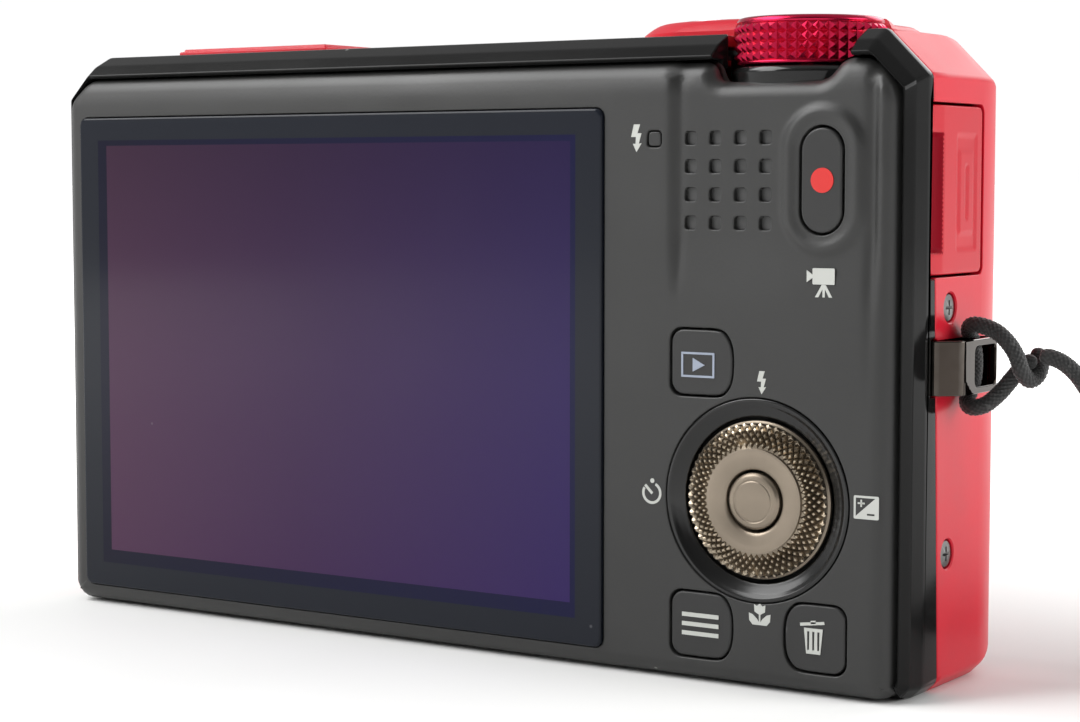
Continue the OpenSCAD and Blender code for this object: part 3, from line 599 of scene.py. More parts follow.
tether_points = [
    (60.1, 0.15, 31.65), (61.2, 0.3, 31.7), (62.6, 0.6, 31.0), (63.9, 0.9, 29.6), (65.1, 1.3, 27.4),
    (66.3, 1.9, 24.2), (67.4, 2.7, 20.2), (68.4, 3.7, 15.8), (69.3, 4.9, 11.4), (70.2, 6.4, 7.4),
    (71.0, 8.2, 4.4), (71.6, 10.6, 2.5), (71.9, 12.6, 1.95), (71.9, 14.0, 1.9), (71.9, 18.0, 1.9),
    (71.9, 22.0, 1.9), (72.6, 25.0, 1.3), (73.7, 28.5, 0.85)]
TURNS = (6.75, 4.9, 3.05)
LOOP_X, LOOP_LOW, LOOP_HIGH, LIE = 67.3, 29.7, 46.3, 0.8
for lap, reach in enumerate(TURNS):
    if lap:
        for k in range(1, 9):
            r = TURNS[lap - 1] + (reach - TURNS[lap - 1]) * k / 8
            a = math.pi * (1 + k / 8)
            tether_points.append((LOOP_X + r * math.cos(a), LOOP_LOW + r * math.sin(a), LIE))
    tether_points += [(LOOP_X + reach, y, LIE) for y in ((33, 38, 43) if lap else (31, 35, 39, 43))]
    tether_points += [(x, y, LIE) for x, y in turned(LOOP_X, LOOP_HIGH, reach, 0, 180, 8)]
    tether_points += [(LOOP_X - reach, y, LIE) for y in (43, 38, 33.5)]
tether_points += [
    (64.4, 30.8, 1.25), (65.1, 28.4, 2.1), (66.4, 26.3, 2.45), (68.0, 24.6, 2.45), (69.3, 23.3, 2.2),
    (69.9, 22.2, 1.95), (70.0, 20.0, 1.9), (70.0, 17.0, 1.9), (70.0, 14.6, 1.9)]
tether_route = routed(tether_points)
hitch_points = [
    (58.8, 1.9, 32.3), (59.6, 1.7, 31.3), (59.8, 0.7, 30.1), (59.5, -0.7, 29.6), (59.1, -1.7, 30.5),
    (58.7, -1.9, 31.8), (57.9, -1.9, 33.0), (56.7, -1.8, 34.0), (55.4, -1.8, 34.5), (54.2, -1.6, 34.6),
    (53.5, -0.9, 34.1), (53.4, 0.1, 33.0), (53.4, 0.7, 31.6), (53.4, 0.7, 30.0), (53.4, 0.1, 28.6),
    (53.5, -1.1, 27.4), (54.3, -1.9, 26.9), (55.6, -1.8, 27.2), (56.8, -1.3, 28.3), (57.8, -0.7, 29.7),
    (58.7, -0.2, 30.9), (59.8, 0.1, 31.6)]
tether = add("strap_tether", braided(tether_route), "camera_body", "cord",
             ("strap_cord", "strap_turns"), angle=80, weighted=False)
hitch = add("strap_knot", braided(routed(hitch_points), ends=0.9), "camera_body", "cord",
            ("strap_hitch",), angle=80, weighted=False)


def slider_section(grow):
    """Outline of the slider seen along the cord, grown by an amount."""
    return turned(71.9, 1.9, 1.8 + grow, -90, 90, 16) + turned(70.0, 1.9, 1.8 + grow, 90, 270, 16)


slider_rows = [(14.0, -0.5), (14.03, -0.3), (14.15, -0.12), (14.4, 0.0)]
for start in (16.3, 17.4, 18.5):
    slider_rows += [(start, 0.0), (start + 0.2, -0.12), (start + 0.5, -0.12), (start + 0.7, 0.0)]
slider_rows += [(21.6, 0.0), (21.85, -0.12), (21.97, -0.3), (22.0, -0.5)]
slider = add("strap_slider_body", layers(slider_rows, slider_section), "camera_body", "rubber",
             ("strap_slider",))


# ------------ housing

def outline(side, top, base):
    """The body's outline seen from behind, drawn in at the sides, the top and the base."""
    x0, x1, z0, z1 = -52.4 + side, 52.4 - side, base, 62.0 - top
    k = 0.3 * (side + top)
    return rounded([
        (x0 + 1.2, z0), (x1 - 1.2, z0), (x1, z0 + 1.2), (x1, z1 - 4.3 + k),
        (x1 - 4.3 + k, z1), (x0 + 3.6 - k, z1), (x0, z1 - 3.6 + k), (x0, z0 + 1.2)],
        (1.0, 1.0, 1.0, 0.9, 0.9, 1.0, 1.0, 1.0))


def ring_at(y, side, top, base):
    return [(x, y, z) for x, z in outline(side, top, base)]


def even_ring(y, inset):
    return ring_at(y, inset, inset, inset)


def seam_ring(lead, side, top, base):
    """Outline laid on the slanted seam, moved along Y by a lead."""
    return [(x, -5.9 - (z - 31.0) * math.tan(math.radians(2.4)) + lead, z)
            for x, z in outline(side, top, base)]


# Mid band: closed section of (y, side, top, base), lofted round the body.
band_outer = eased([
    (-11.3, 0.99, 2.56, 0.9), (-11.62, 0.92, 2.25, 0.7), (-10.2, 0.35, 1.1, 0.2), (-8.1, 0.02, 0.04, 0.01),
    (-7.7, 0.0, 0.0, 0.0)], 0.28, 4)
band_rings = [ring_at(*row) for row in band_outer]
band_rings += [seam_ring(lead, inset, inset, inset)
               for lead, inset in ((-0.16, 0.0), (-0.05, 0.05), (0.0, 0.16))]
band_rings += [seam_ring(0.0, 2.0, 3.3, 1.6), ring_at(-9.38, 2.0, 3.3, 1.6), ring_at(-9.38, 0.99, 2.57, 0.9)]
band = add("mid_band_shell", loft(band_rings, "joined"), "camera_body", "band", ("mid_band",), angle=30)
AT_DIAL = along_z(38.1, -3.7)
dial_bore = lathe([(0.01, 55.0), (7.9, 55.0), (7.9, 66.0), (0.01, 66.0)], AT_DIAL, 128)
dial_gap = rounded([(31.7, 66), (31.7, 54), (45.2, 54), (46.1, 59.2), (46.1, 66)], 0.3)
cut(band,
    block((-51.1, -13, -1), (51.1, -9.4, 1.55)),
    dial_bore,
    loft([[(x, y, z) for x, z in dial_gap] for y in (-13.5, -3.2)]),
    block((51.2, -7.6, 39.0), (53, -2.5, 55.3)),
    block((50.2, -6.95, 28.1), (53.5, -2.5, 33.4)))
bevelled(band, 0.14, 50)

# Front shell: crowned front, hollow, cut from behind to the seam.
WALL = 1.1
CROWN = [math.radians(7.5 * k) for k in range(1, 13)]
shell_rings = [seam_ring(lead, inset, inset, inset) for lead, inset in ((0.02, 0.2), (0.06, 0.06), (0.2, 0.0))]
shell_rings += [even_ring(y, 0) for y in (-3.6, 4.5)]
shell_rings += [even_ring(4.5 + 8 * math.sin(a), 4 * (1 - math.cos(a))) for a in CROWN]
front_at = len(shell_rings) - 1
shell_rings += [even_ring(4.5 + 6.9 * math.sin(a), WALL + 4 * (1 - math.cos(a))) for a in reversed(CROWN)]
shell_rings += [even_ring(y, WALL) for y in (4.5, -3.4)] + [seam_ring(0.02, WALL, WALL, WALL)]
verts, faces = loft(shell_rings, "joined")
count = len(shell_rings[0])
front, rear = (range(k * count, (k + 1) * count) for k in (front_at, front_at + 1))
faces = [f for f in faces if not (f[0] in front and f[2] in rear)]
faces += [tuple(front), tuple(reversed(rear))]
shell = add("front_shell_body", (verts, faces), "camera_body", "red", ("front_shell",), angle=30)


def flared(loop, front, deep, flare=0.12, axis="y"):
    """Cutter for an opening with a small chamfer at the surface. front is the surface, deep how far it goes."""
    side = math.copysign(1.0, front - deep)
    rings = []
    for depth, grow in ((front + side, flare), (front, flare), (front - side * flare, 0.0), (deep, 0.0)):
        ring = grown(np.asarray(loop, float), grow)
        rings.append(np.insert(ring, "xyz".index(axis), depth, axis=1))
    return loft(rings)


END_SCREWS = [(1, 36.2), (1, 13.0), (-1, 45.0), (-1, 13.0)]
BASE_SCREWS = [-46.5, -20.0]
door_bay = rounded([(13.2, -3.8), (49.9, -3.8), (49.9, 5.75), (47.8, 5.75), (47.8, 10.4), (13.2, 10.4)], 0.35)
shell_tools = [
    flared(circle(-14, 29.5, 24.9, 128), 12.5, 8.0),
    flared(circle(12.5, 53, 2.3, 48), 12.5, 8.0),
    dial_bore,
    flared(circle(26, 5.3, 5.4, 64), 62.0, 58.0, axis="z"),
    flared(circle(12, 3.5, 3.0, 64), 62.0, 58.0, axis="z"),
    flared(rect(-42.9, -22.3, -1.9, 9.9, 0.4), 61.7, 58.0, 0.2, "z"),
    flared(rect(-43.5, -21.7, -2.6, 10.5, 0.5), 62.0, 61.7, 0.05, "z"),
    flared(rect(-8.0, 4.7, 39.05, 55.25, 0.9), 52.4, 51.2, 0.06, "x"),
    block((49.9, -4.9, 40.6), (52.2, 2.6, 53.2)),
    block((50, -9, 28.1), (53, -5.7, 33.4)),
    block((50, 2.4, 28.1), (53, 3.2, 33.4)),
    flared(door_bay, 0.0, 2.6, 0.1, "z"),
    flared(rect(-40.2, -28.9, -2.6, 3.6, 0.4), 0.0, 2.0, 0.1, "z"),
    flared(circle(0, 0, 4.85, 64), 0.0, 3.0, 0.1, "z")]
shell_tools += [lathe([(0.01, 59), (0.35, 59), (0.35, 61.9), (0.5, 62.1), (0.5, 63), (0.01, 63)],
                      along_z(x, y), 20) for x in (-12, 3) for y in (1.8, 3.0, 4.2)]
well = [(0.01, 3.2), (0.8, 3.2), (0.8, 0.86), (1.42, 0.85), (1.42, 0.12), (1.56, -0.01), (1.56, -0.8),
        (0.01, -0.8)]
shell_tools += [lathe([(r, side * (52.4 - h)) for r, h in well], along_x(-2.75, z), 40)
                for side, z in END_SCREWS]
shell_tools += [lathe(well, along_z(x, 0.5), 40) for x in BASE_SCREWS]
cut(shell, *shell_tools)
bevelled(shell, 0.08, 60)

# Top deck round the shutter button.
SHUTTER = (26, 5.3)
deck_loop = turned(*SHUTTER, 10.06, 150.5, 255.5, 24) + turned(38.1, -3.7, 7.9, 185.4, 39.4, 40)
deck_loop = refine(np.array(deck_loop + [(44.2, 9.6), (43.6, 10.26)]), 1.0)


def deck_drop(p):
    """Depth of the deck's top below its highest plane."""
    x, y = p[:, 0], p[:, 1]
    reach = np.hypot(x - SHUTTER[0], y - SHUTTER[1])
    left = np.where(x < SHUTTER[0], (reach - 8.6) * (2.3 / 2.8), -5)
    slopes = np.stack([left, (y - 8.8) * (2.3 / 2.8), (-3.4 - y) * (2.3 / 2.0), (x - 43.2) * 1.2])
    ridge = step((reach - 6.7) / 0.6) * step((4.5 - y) / 2.5)
    return 0.35 * np.log1p(np.exp(np.max(slopes, 0) / 0.35)) - 0.6 * ridge


def laid(result, axis, front, side):
    """A relief laid across an axis, its front plane at a height and its back towards a side."""
    verts, faces = result
    verts = np.array(verts)
    return np.insert(verts[:, :2], "xyz".index(axis), front + side * verts[:, 2], axis=1), faces


deck_face = relief(deck_loop, [], lattice(15, 45, -5, 11, 0.45), deck_drop, back=1.7)
deck = add("top_deck", laid(deck_face, "z", 63.2, -1), "camera_body", "red", angle=50)
cut(deck, flared(circle(*SHUTTER, 5.4, 72), 62.97, 58.0, axis="z"))


# ------------ rear cover

REAR = -12.5


def quarter(size, steps):
    """Rounded rim as (distance in, depth)."""
    angles = [math.pi / 2 * k / steps for k in range(steps + 1)]
    return [(size * (1 - math.cos(a)), size * (1 - math.sin(a))) for a in angles]


def cover_drop(p):
    """The cover's crease, its raised button surround and its dip, as depth behind the rear plane."""
    x, z = p[:, 0], p[:, 1]
    high = step((z - 35.5) / 8.0)
    drop = 0.45 * high * step((x - 27.4) / 1.5) * (1 - step((x - 48.7) / 1.2))
    drop = drop + 0.75 * np.clip((z - 55.9) / 3.5, 0, 1) ** 2 + 1.1 * np.clip((x - 48.9) / 2.5, 0, 1) ** 2
    drop = drop + 0.22 * np.exp(-((x - 28.5) / 0.45) ** 2) * high
    drop = drop + 0.26 * np.exp(-((x - 48.75) / 0.5) ** 2) * step((z - 26) / 16)
    reach = np.hypot(x - 43.75, z - np.clip(z, 45.3, 50.8))
    return drop - step((4.5 - reach) / 0.9) * (0.42 - 0.2 * step((3.35 - reach) / 0.6))


def spot_loop(x0, x1, z0, z1, cx, radius, count=96):
    """Rounded square with one bulging side, as the rear buttons have."""
    centre = np.array([(x0 + x1) / 2, (z0 + z1) / 2])
    half = np.array([(x1 - x0) / 2, (z1 - z0) / 2])
    out = []
    for k in range(count):
        ahead = np.array([math.cos(TAU * k / count), math.sin(TAU * k / count)])
        near, far = 0.0, 12.0
        for _ in range(40):
            middle = (near + far) / 2
            p = centre + ahead * middle
            q = np.abs(p - centre) - (half - 1.3)
            box = np.linalg.norm(np.maximum(q, 0)) + min(max(q[0], q[1]), 0) - 1.3
            disc = math.hypot(p[0] - cx, p[1] - centre[1]) - radius
            value = 0.25 * math.log(math.exp(box / 0.25) + math.exp(disc / 0.25))
            near, far = (middle, far) if value < 0 else (near, middle)
        out.append(centre + ahead * near)
    return np.array(out)


cover_loop = refine(rounded([
    (-50.2, 0.3), (50.2, 0.3), (51.4, 1.5), (51.4, 56.18), (48.18, 59.4), (45.19, 59.4), (43.6, 57.3),
    (32.4, 57.3), (31.72, 59.4), (-48.88, 59.4), (-51.4, 56.88), (-51.4, 1.5)],
    [2.0, 2.0, 2.0, 3.6, 3.2, 2.1, 1.8, 1.0, 1.95, 2.6, 2.6, 2.0], 8), 0.8)
BUTTONS = {
    "play_button": (27.8, 34.9, 27.5, 34.1, 30.6, 4.45),
    "menu_button": (27.9, 35.0, 2.3, 8.9, 30.7, 4.45),
    "delete_button": (40.1, 46.8, 2.2, 8.9, 44.2, 4.3)}
cover_holes = [rect(-49.05, 20.36, 2.14, 55.06, 0.95), rect(25.2, 26.8, 51.2, 52.8, 0.45),
               stadium(43.7, 43.0, 53.1, 2.3), circle(37.2, 18.0, 9.75, 128)]
cover_holes += [spot_loop(*shape) for shape in BUTTONS.values()]
cover_holes += [rect(x - 0.62, x + 0.62, z - 0.62, z + 0.62, 0.3, 4)
                for x in (29.75 + 2.67 * i for i in range(4)) for z in (52.05 - 2.67 * j for j in range(4))]
cover_grid = np.vstack([lattice(21.3, 51.4, 0.3, 59.4, 0.42), lattice(-51.4, 21.0, 55.5, 59.4, 1.1),
                        lattice(-51.4, 21.0, 0.3, 2.0, 1.1)])
cover_face = relief(cover_loop, cover_holes, cover_grid, cover_drop, quarter(1.6, 8), back=2.0)
add("rear_cover_face", laid(cover_face, "y", REAR, 1), "camera_body", "cover", ("rear_cover",), angle=62,
    weighted=False)
skirt = [[(x, REAR + depth, z) for x, z in grown(cover_loop, -inset)]
         for depth, inset in ((2.0, 0.0), (3.1, 0.0), (3.1, 1.1), (2.0, 1.1))]
add("rear_cover_rim", loft(skirt, "joined"), "camera_body", "cover", angle=40)
add("speaker_grille_back", layers([(-11.5, 0), (-11.0, 0)], lambda inset: rect(28.6, 39.0, 42.8, 53.2, 0.5, 3)),
    "camera_body", "button", angle=50)


# ------------ display and rear buttons

glass_rows = [(-11.75, 0.0), (-12.62, 0.0), (-12.76, 0.05), (-12.83, 0.14), (-12.85, 0.3)]
add("display_front", layers(glass_rows, lambda i: rect(-49 + i, 20.3 - i, 2.2 + i, 55 - i, 0.8)),
    "camera_body", "display", ("display_glass",), angle=60)


def button(name, loop, centre, front=-12.42):
    """Moulded button: straight sides, a rounded rim and its stem."""
    rows = [(-11.1, -0.1), (-11.15, 0.0), (front + 0.2, 0.0), (front + 0.09, -0.05),
            (front + 0.024, -0.12), (front, -0.26)]
    pin = lathe([(0.01, -10.1), (1.2, -10.1), (1.2, -11.3), (0.01, -11.3)], along_y(*centre), 40)
    add(name + "_cap", join(layers(rows, lambda grow: grown(loop, grow)), pin), name, "button", (name,),
        angle=50)


for name, (x0, x1, z0, z1, cx, radius) in BUTTONS.items():
    shape = spot_loop(x0 + 0.17, x1 - 0.17, z0 + 0.17, z1 - 0.17, cx, radius - 0.17)
    button(name, shape, ((x0 + x1) / 2, (z0 + z1) / 2))
button("movie_button", refine(stadium(43.7, 43.2, 52.9, 2.1), 0.5), (43.7, 48.05), -12.3)
lamp_rows = [(-11.1, 0.0), (-12.3, 0.0), (-12.39, 0.06), (-12.42, 0.16)]
add("flash_ready_lamp", layers(lamp_rows, lambda i: rect(25.3 + i, 26.7 - i, 51.3 + i, 52.7 - i, 0.35)),
    "camera_body", "button", ("ready_lamp",), angle=60)


# ------------ rotary selector

def diamonds(profile, rows, columns, place, lift, flat=0.34):
    """Diamond knurl over a turned profile: a flat-topped pyramid in every cell of a crossed grid."""
    radii, heights = np.array(profile).T
    run = lengths(np.array(profile))
    halves = 2 * rows
    verts, faces = [], []

    def put(share, turn, rise):
        s = share * run[-1]
        (r, h), (r0, h0), (r1, h1) = [(np.interp(at, run, radii), np.interp(at, run, heights))
                                      for at in (s, max(0, s - 0.25), min(run[-1], s + 0.25))]
        along = math.hypot(r1 - r0, h1 - h0)
        r, h = r - (h1 - h0) / along * rise, h + (r1 - r0) / along * rise
        a = TAU * turn / columns
        verts.append(place(r * math.cos(a), r * math.sin(a), h))
        return len(verts) - 1

    nodes = [[put(j / halves, i + 0.5 * (j % 2), 0.0) for i in range(columns)] for j in range(halves + 1)]
    for j in range(1, halves):
        for i in range(columns):
            middle = i + 0.5 * ((j + 1) % 2)
            top = [put((j + flat * across) / halves, middle + 0.5 * flat * along, lift)
                   for across, along in ((0, -1), (-1, 0), (0, 1), (1, 0))]
            left, right = nodes[j][i - j % 2], nodes[j][(i + 1 - j % 2) % columns]
            foot = (left, nodes[j - 1][i], right, nodes[j + 1][i])
            faces += [(foot[k - 1], foot[k], top[k], top[k - 1]) for k in range(4)] + [tuple(top)]
    for i in range(columns):
        faces.append((nodes[0][i - 1], nodes[0][i], nodes[1][i - 1]))
        faces.append((nodes[halves][i - 1], nodes[halves - 1][i - 1], nodes[halves][i]))
    inner, outer = ([put(share, i, -0.25) for i in range(columns)] for share in (0.0, 1.0))
    return verts, faces + belt(nodes[0], inner) + belt(inner, outer) + belt(outer, nodes[halves])


AT_WHEEL = along_y(37.2, 18.0)
add("selector_wheel_body", lathe(
    [(2.95, -11.2), (7.25, -11.2), (7.5, -11.4), (7.55, -11.6), (7.5, -11.8), (7.3, -11.93),
     (7.1, -12.23), (6.7, -12.44), (6.0, -12.57), (5.0, -12.66), (4.98, -12.99), (4.8, -13.03),
     (4.2, -12.99), (3.3, -12.86), (3.1, -12.8), (3.0, -12.72), (2.95, -12.6)], AT_WHEEL, 128),
    "selector_wheel", "spun", ("selector_wheel",), angle=30)
add("selector_knurl", diamonds(
    [(7.3, -11.95), (7.12, -12.28), (6.7, -12.5), (6.0, -12.62), (5.0, -12.72)], 3, 54, AT_WHEEL, 0.27),
    "selector_wheel", "champagne", angle=8, weighted=False)
add("selector_centre", lathe(eased(
    [(0.01, -13.12), (1.85, -13.1), (1.9, -13.04), (2.02, -13.04), (2.07, -13.08), (2.45, -13.0),
     (2.7, -12.75), (2.7, -11.0), (1.1, -11.0), (1.1, -10.1), (0.01, -10.1)], 0.05, 2), AT_WHEEL, 96),
    "centre_button", "spun", ("centre_button",), angle=40)
add("selector_surround", lathe(eased(
    [(7.9, -11.3), (7.9, -11.85), (8.3, -11.98), (8.9, -12.24), (9.3, -12.52), (9.65, -12.5),
     (9.65, -11.3)], 0.14, 4), AT_WHEEL), "camera_body", "ring", ("selector_ring",), angle=40)


# ------------ printed marks

def mark(name, shapes, mat="print", body="camera_body", front=REAR, thick=0.02, plane=None):
    """Thin printed marks: each shape is a list of loops, the first its outline and the rest its holes."""
    plane = plane or (lambda x, z, up: (x, front - up, z))
    verts, faces = [], []
    for loops in shapes:
        tris = tessellate_polygon([[Vector((x, z, 0)) for x, z in loop] for loop in loops])
        flat = np.vstack([np.asarray(loop, float) for loop in loops])
        base, count = len(verts), len(flat)
        verts += [plane(x, z, up) for up in (thick, -0.06) for x, z in flat]
        faces += [tuple(i + base for i in tri) for tri in tris]
        faces += [tuple(i + base + count for i in reversed(tri)) for tri in tris]
        for loop in loops:
            ring = range(base, base + len(loop))
            faces += belt(ring, [i + count for i in ring])
            base += len(loop)
    add(name, (verts, faces), body, mat, angle=30, weighted=False)


def moved(points, x, z, size=1.0):
    return [[(x + px * size, z + pz * size) for px, pz in points]]


def bar(x0, z0, x1, z1, width):
    """Straight stroke."""
    a, b = np.array([x0, z0]), np.array([x1, z1])
    d = (b - a) / np.linalg.norm(b - a)
    n = np.array([-d[1], d[0]]) * width / 2
    return [[tuple(a - n), tuple(b - n), tuple(b + n), tuple(a + n)]]


BOLT = [(-0.25, 1.3), (0.45, 1.3), (0.15, 0.45), (0.6, 0.45), (0.3, -0.55), (0.62, -0.5), (0.05, -1.35),
        (-0.35, -0.55), (-0.05, -0.55), (-0.02, 0.1), (-0.55, 0.1)]
FLOWER = [(-1.15, 0.1), (-0.75, -0.02), (-0.3, -0.4), (-0.08, -0.72), (-0.08, 0.0), (-0.55, 0.25),
          (-0.6, 0.95), (-0.3, 0.8), (0.0, 1.05), (0.3, 0.8), (0.6, 0.95), (0.55, 0.25), (0.08, 0.0),
          (0.08, -0.72), (0.3, -0.4), (0.75, -0.02), (1.15, 0.1), (1.1, -0.6), (0.75, -1.0),
          (-0.75, -1.0), (-1.1, -0.6)]
mark("mark_flash_top", [moved(BOLT, 24.0, 52.1)])
mark("mark_flash_selector", [moved(BOLT, 37.75, 29.2, 0.82)])
mark("mark_timer", [
    [turned(25.9, 17.95, 0.95 + 0.13, 150, 425, 32) + turned(25.9, 17.95, 0.95 - 0.13, 425, 150, 32)],
    bar(25.95, 17.9, 25.15, 18.7, 0.28), [circle(25.95, 19.14, 0.23, 16)]])
mark("mark_exposure", [
    [rect(47.4, 49.9, 17.15, 19.3, 0.12, 2), [(47.6, 17.4), (49.55, 19.1), (47.6, 19.1)]],
    bar(47.8, 18.6, 48.5, 18.6, 0.16), bar(48.15, 18.27, 48.15, 18.93, 0.16)])
mark("mark_exposure_minus", [bar(48.75, 17.6, 49.5, 17.6, 0.16)], "dark", thick=0.035)
mark("mark_close_up", [moved(FLOWER, 37.75, 7.25)])
mark("mark_movie", [
    [rect(42.95, 45.2, 38.5, 40.0, 0.1, 2)], [[(42.35, 38.7), (42.95, 39.1), (42.95, 39.4), (42.35, 39.8)]],
    [[(43.2, 37.3), (43.55, 37.3), (43.98, 38.1), (43.98, 37.2), (44.22, 37.2), (44.22, 38.1),
      (44.65, 37.3), (45.0, 37.3), (44.3, 38.48), (43.9, 38.48)]]], front=-12.42)
mark("mark_record", [[circle(43.8, 48.05, 1.15, 48)]], "print_red", "movie_button", -12.35)
mark("mark_play", [[rect(29.1, 32.7, 29.35, 31.75, 0.05, 2), rect(29.3, 32.5, 29.55, 31.55, 0.02, 2)],
                   [[(30.35, 29.9), (31.65, 30.55), (30.35, 31.2)]]], "print_blue", "play_button", -12.47)
mark("mark_menu", [bar(29.3, z, 33.3, z, 0.4) for z in (6.5, 5.6, 4.7)], body="menu_button", front=-12.47)
BIN = [[(42.4, 6.5), (44.35, 6.5), (44.1, 4.1), (42.65, 4.1)]]
BIN += [[(x - 0.1, 4.45), (x + 0.1, 4.45), (x + 0.12, 6.2), (x - 0.12, 6.2)] for x in (42.85, 43.375, 43.9)]
mark("mark_delete", [BIN, bar(42.0, 6.78, 44.5, 7.1, 0.28), bar(43.1, 7.05, 43.6, 7.12, 0.3)],
     body="delete_button", front=-12.47)


# ------------ mode dial

def pyramids(radius, low, high, rows, columns, place, lift):
    """Square knurl round a cylinder."""
    verts, faces = [], []

    def put(turn, h, r):
        a = TAU * turn / columns
        verts.append(place(r * math.cos(a), r * math.sin(a), h))
        return len(verts) - 1

    tall = (high - low) / rows
    nodes = [[put(i, low + tall * j, radius) for i in range(columns)] for j in range(rows + 1)]
    for j in range(rows):
        for i in range(columns):
            tip = put(i + 0.5, low + tall * (j + 0.5), radius + lift)
            ring = [nodes[j][i], nodes[j][(i + 1) % columns], nodes[j + 1][(i + 1) % columns], nodes[j + 1][i]]
            faces += [(ring[k], ring[(k + 1) % 4], tip) for k in range(4)]
    inner, outer = ([put(i, h, radius - 0.4) for i in range(columns)] for h in (low, high))
    return verts, faces + belt(nodes[0], inner) + belt(inner, outer) + belt(outer, nodes[rows])


def dial_mark(k):
    """Plain mode sign number k round the top of the dial."""
    a = TAU * k / 8 + 0.35
    x, y = 38.1 + 4.4 * math.cos(a), -3.7 + 4.4 * math.sin(a)
    if k % 4 == 0:
        return [[rect(x - 0.75, x + 0.75, y - 0.5, y + 0.5, 0.15, 3), circle(x, y, 0.3, 20)]]
    if k % 4 == 1:
        return [[circle(x, y, 0.65, 28), circle(x, y, 0.4, 24)]]
    if k % 4 == 2:
        return [[[(x - 0.7, y - 0.45), (x + 0.7, y - 0.45), (x, y + 0.65)]]]
    return [bar(x - 0.65, y + d, x + 0.65, y + d, 0.22) for d in (-0.4, 0.0, 0.4)]


add("mode_dial_body", lathe(
    [(0.01, 54.5), (1.6, 54.5), (1.6, 58.95), (6.75, 58.95), (6.95, 59.02), (7.02, 59.15), (6.98, 59.24),
     (6.9, 59.28), (6.9, 62.84), (6.98, 62.88), (7.02, 63.0), (6.98, 63.16), (6.8, 63.36), (6.5, 63.45),
     (5.9, 63.45), (5.78, 63.38), (5.7, 63.32), (3.0, 63.3), (0.01, 63.3)], AT_DIAL, 176),
    "mode_dial", "anodised", ("mode_dial",), angle=32)
add("mode_dial_knurl", pyramids(6.9, 59.28, 62.84, 4, 44, AT_DIAL, 0.42), "mode_dial", "anodised",
    angle=12, weighted=False)
add("dial_base_ring", lathe(eased(
    [(1.7, 56.3), (7.5, 56.3), (7.5, 58.3), (7.2, 58.72), (6.3, 58.8), (5.9, 58.5), (1.7, 58.5)], 0.16, 3),
    AT_DIAL, 128), "camera_body", "ring", ("dial_base",), angle=40)
mark("mark_dial_modes", [shape for k in range(8) for shape in dial_mark(k)], body="mode_dial", thick=0.03,
     plane=lambda x, y, up: (x, y, 63.3 + up))


# ------------ strap lug and screws

lug_loop = rounded(
    [(50.3, -6.85), (52.9, -6.85), (54.9, -5.2), (54.9, 2.6), (54.5, 3.1), (50.3, 3.1),
     (50.3, 2.6), (54.0, 2.6), (54.4, 2.2), (54.4, -4.95), (52.7, -6.35), (50.3, -6.35)],
    [0.05, 0.9, 1.2, 0.5, 0.5, 0.05, 0.05, 0.2, 0.2, 0.8, 0.5, 0.05])
lug = add("strap_lug_body", loft([[(x, y, z) for x, y in lug_loop] for z in (28.2, 33.3)]),
          "camera_body", "nickel", ("strap_lug",), angle=30)
cut(lug, loft([[(x, y, z) for y, z in rect(-2.6, 2.35, 28.85, 32.65, 0.7)] for x in (53.4, 56.0)]))
bevelled(lug, 0.12, 42, 3)

SCREW = [(0.01, -2.9), (0.7, -2.9), (0.7, -0.8), (1.3, -0.76), (1.3, -0.3), (1.22, -0.2), (0.8, -0.13),
         (0.01, -0.1)]
SLOT = ((-0.62, 0.1, 0.4), (0.2, 0.17, 0.92))
screw_places = [((side * 52.4, -2.75, z), (0, side * math.pi / 2, 0)) for side, z in END_SCREWS]
screw_places += [((x, 0.5, 0.0), (math.pi, 0, 0)) for x in BASE_SCREWS]
screws = []
for number, (spot, turn) in enumerate(screw_places, 1):
    if screws:
        screw = bpy.data.objects.new("screw_%d" % number, screws[0].data)
        SCENE.collection.objects.link(screw)
        screw.modifiers.new("even_normals", "WEIGHTED_NORMAL").keep_sharp = True
    else:
        screw = add("screw_1", lathe(SCREW, along_z(0, 0), 48), None, "screw", angle=35)
        cut(screw,
            loft([[(-w, -l, h), (w, -l, h), (w, l, h), (-w, l, h)] for h, w, l in SLOT]),
            loft([[(-w, -l, h), (w, -l, h), (w, l, h), (-w, l, h)] for h, l, w in SLOT]))
    screw.location = [c * MM for c in spot]
    screw.rotation_euler = turn
    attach(screw, "camera_body")
    screws.append(screw)
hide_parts("screws")


# ------------ connector door

def door_drop(p):
    """The door's slope, finger scoop and engraved socket sign, as depth behind its face."""
    y, z = p[:, 0], p[:, 1]
    slope = np.clip((-4.6 - y) / 2.8, 0, 1) * 0.42
    scoop = np.clip(1 - ((y + 5.8) / 1.35) ** 2, 0, 1) * step((z - 41.2) / 0.5) * step((52.6 - z) / 0.5)
    sign = np.abs(np.maximum(np.abs(y - 0.8) / 1.9, np.abs(z - 46.9) / 4.6) - 1.0)
    engraved = 0.12 * step((0.2 - sign) / 0.08)
    pin = 0.12 * step((0.35 - np.abs(y - 0.8)) / 0.15) * step((2.6 - np.abs(z - 46.9)) / 0.15)
    return slope + 0.5 * scoop + engraved + pin


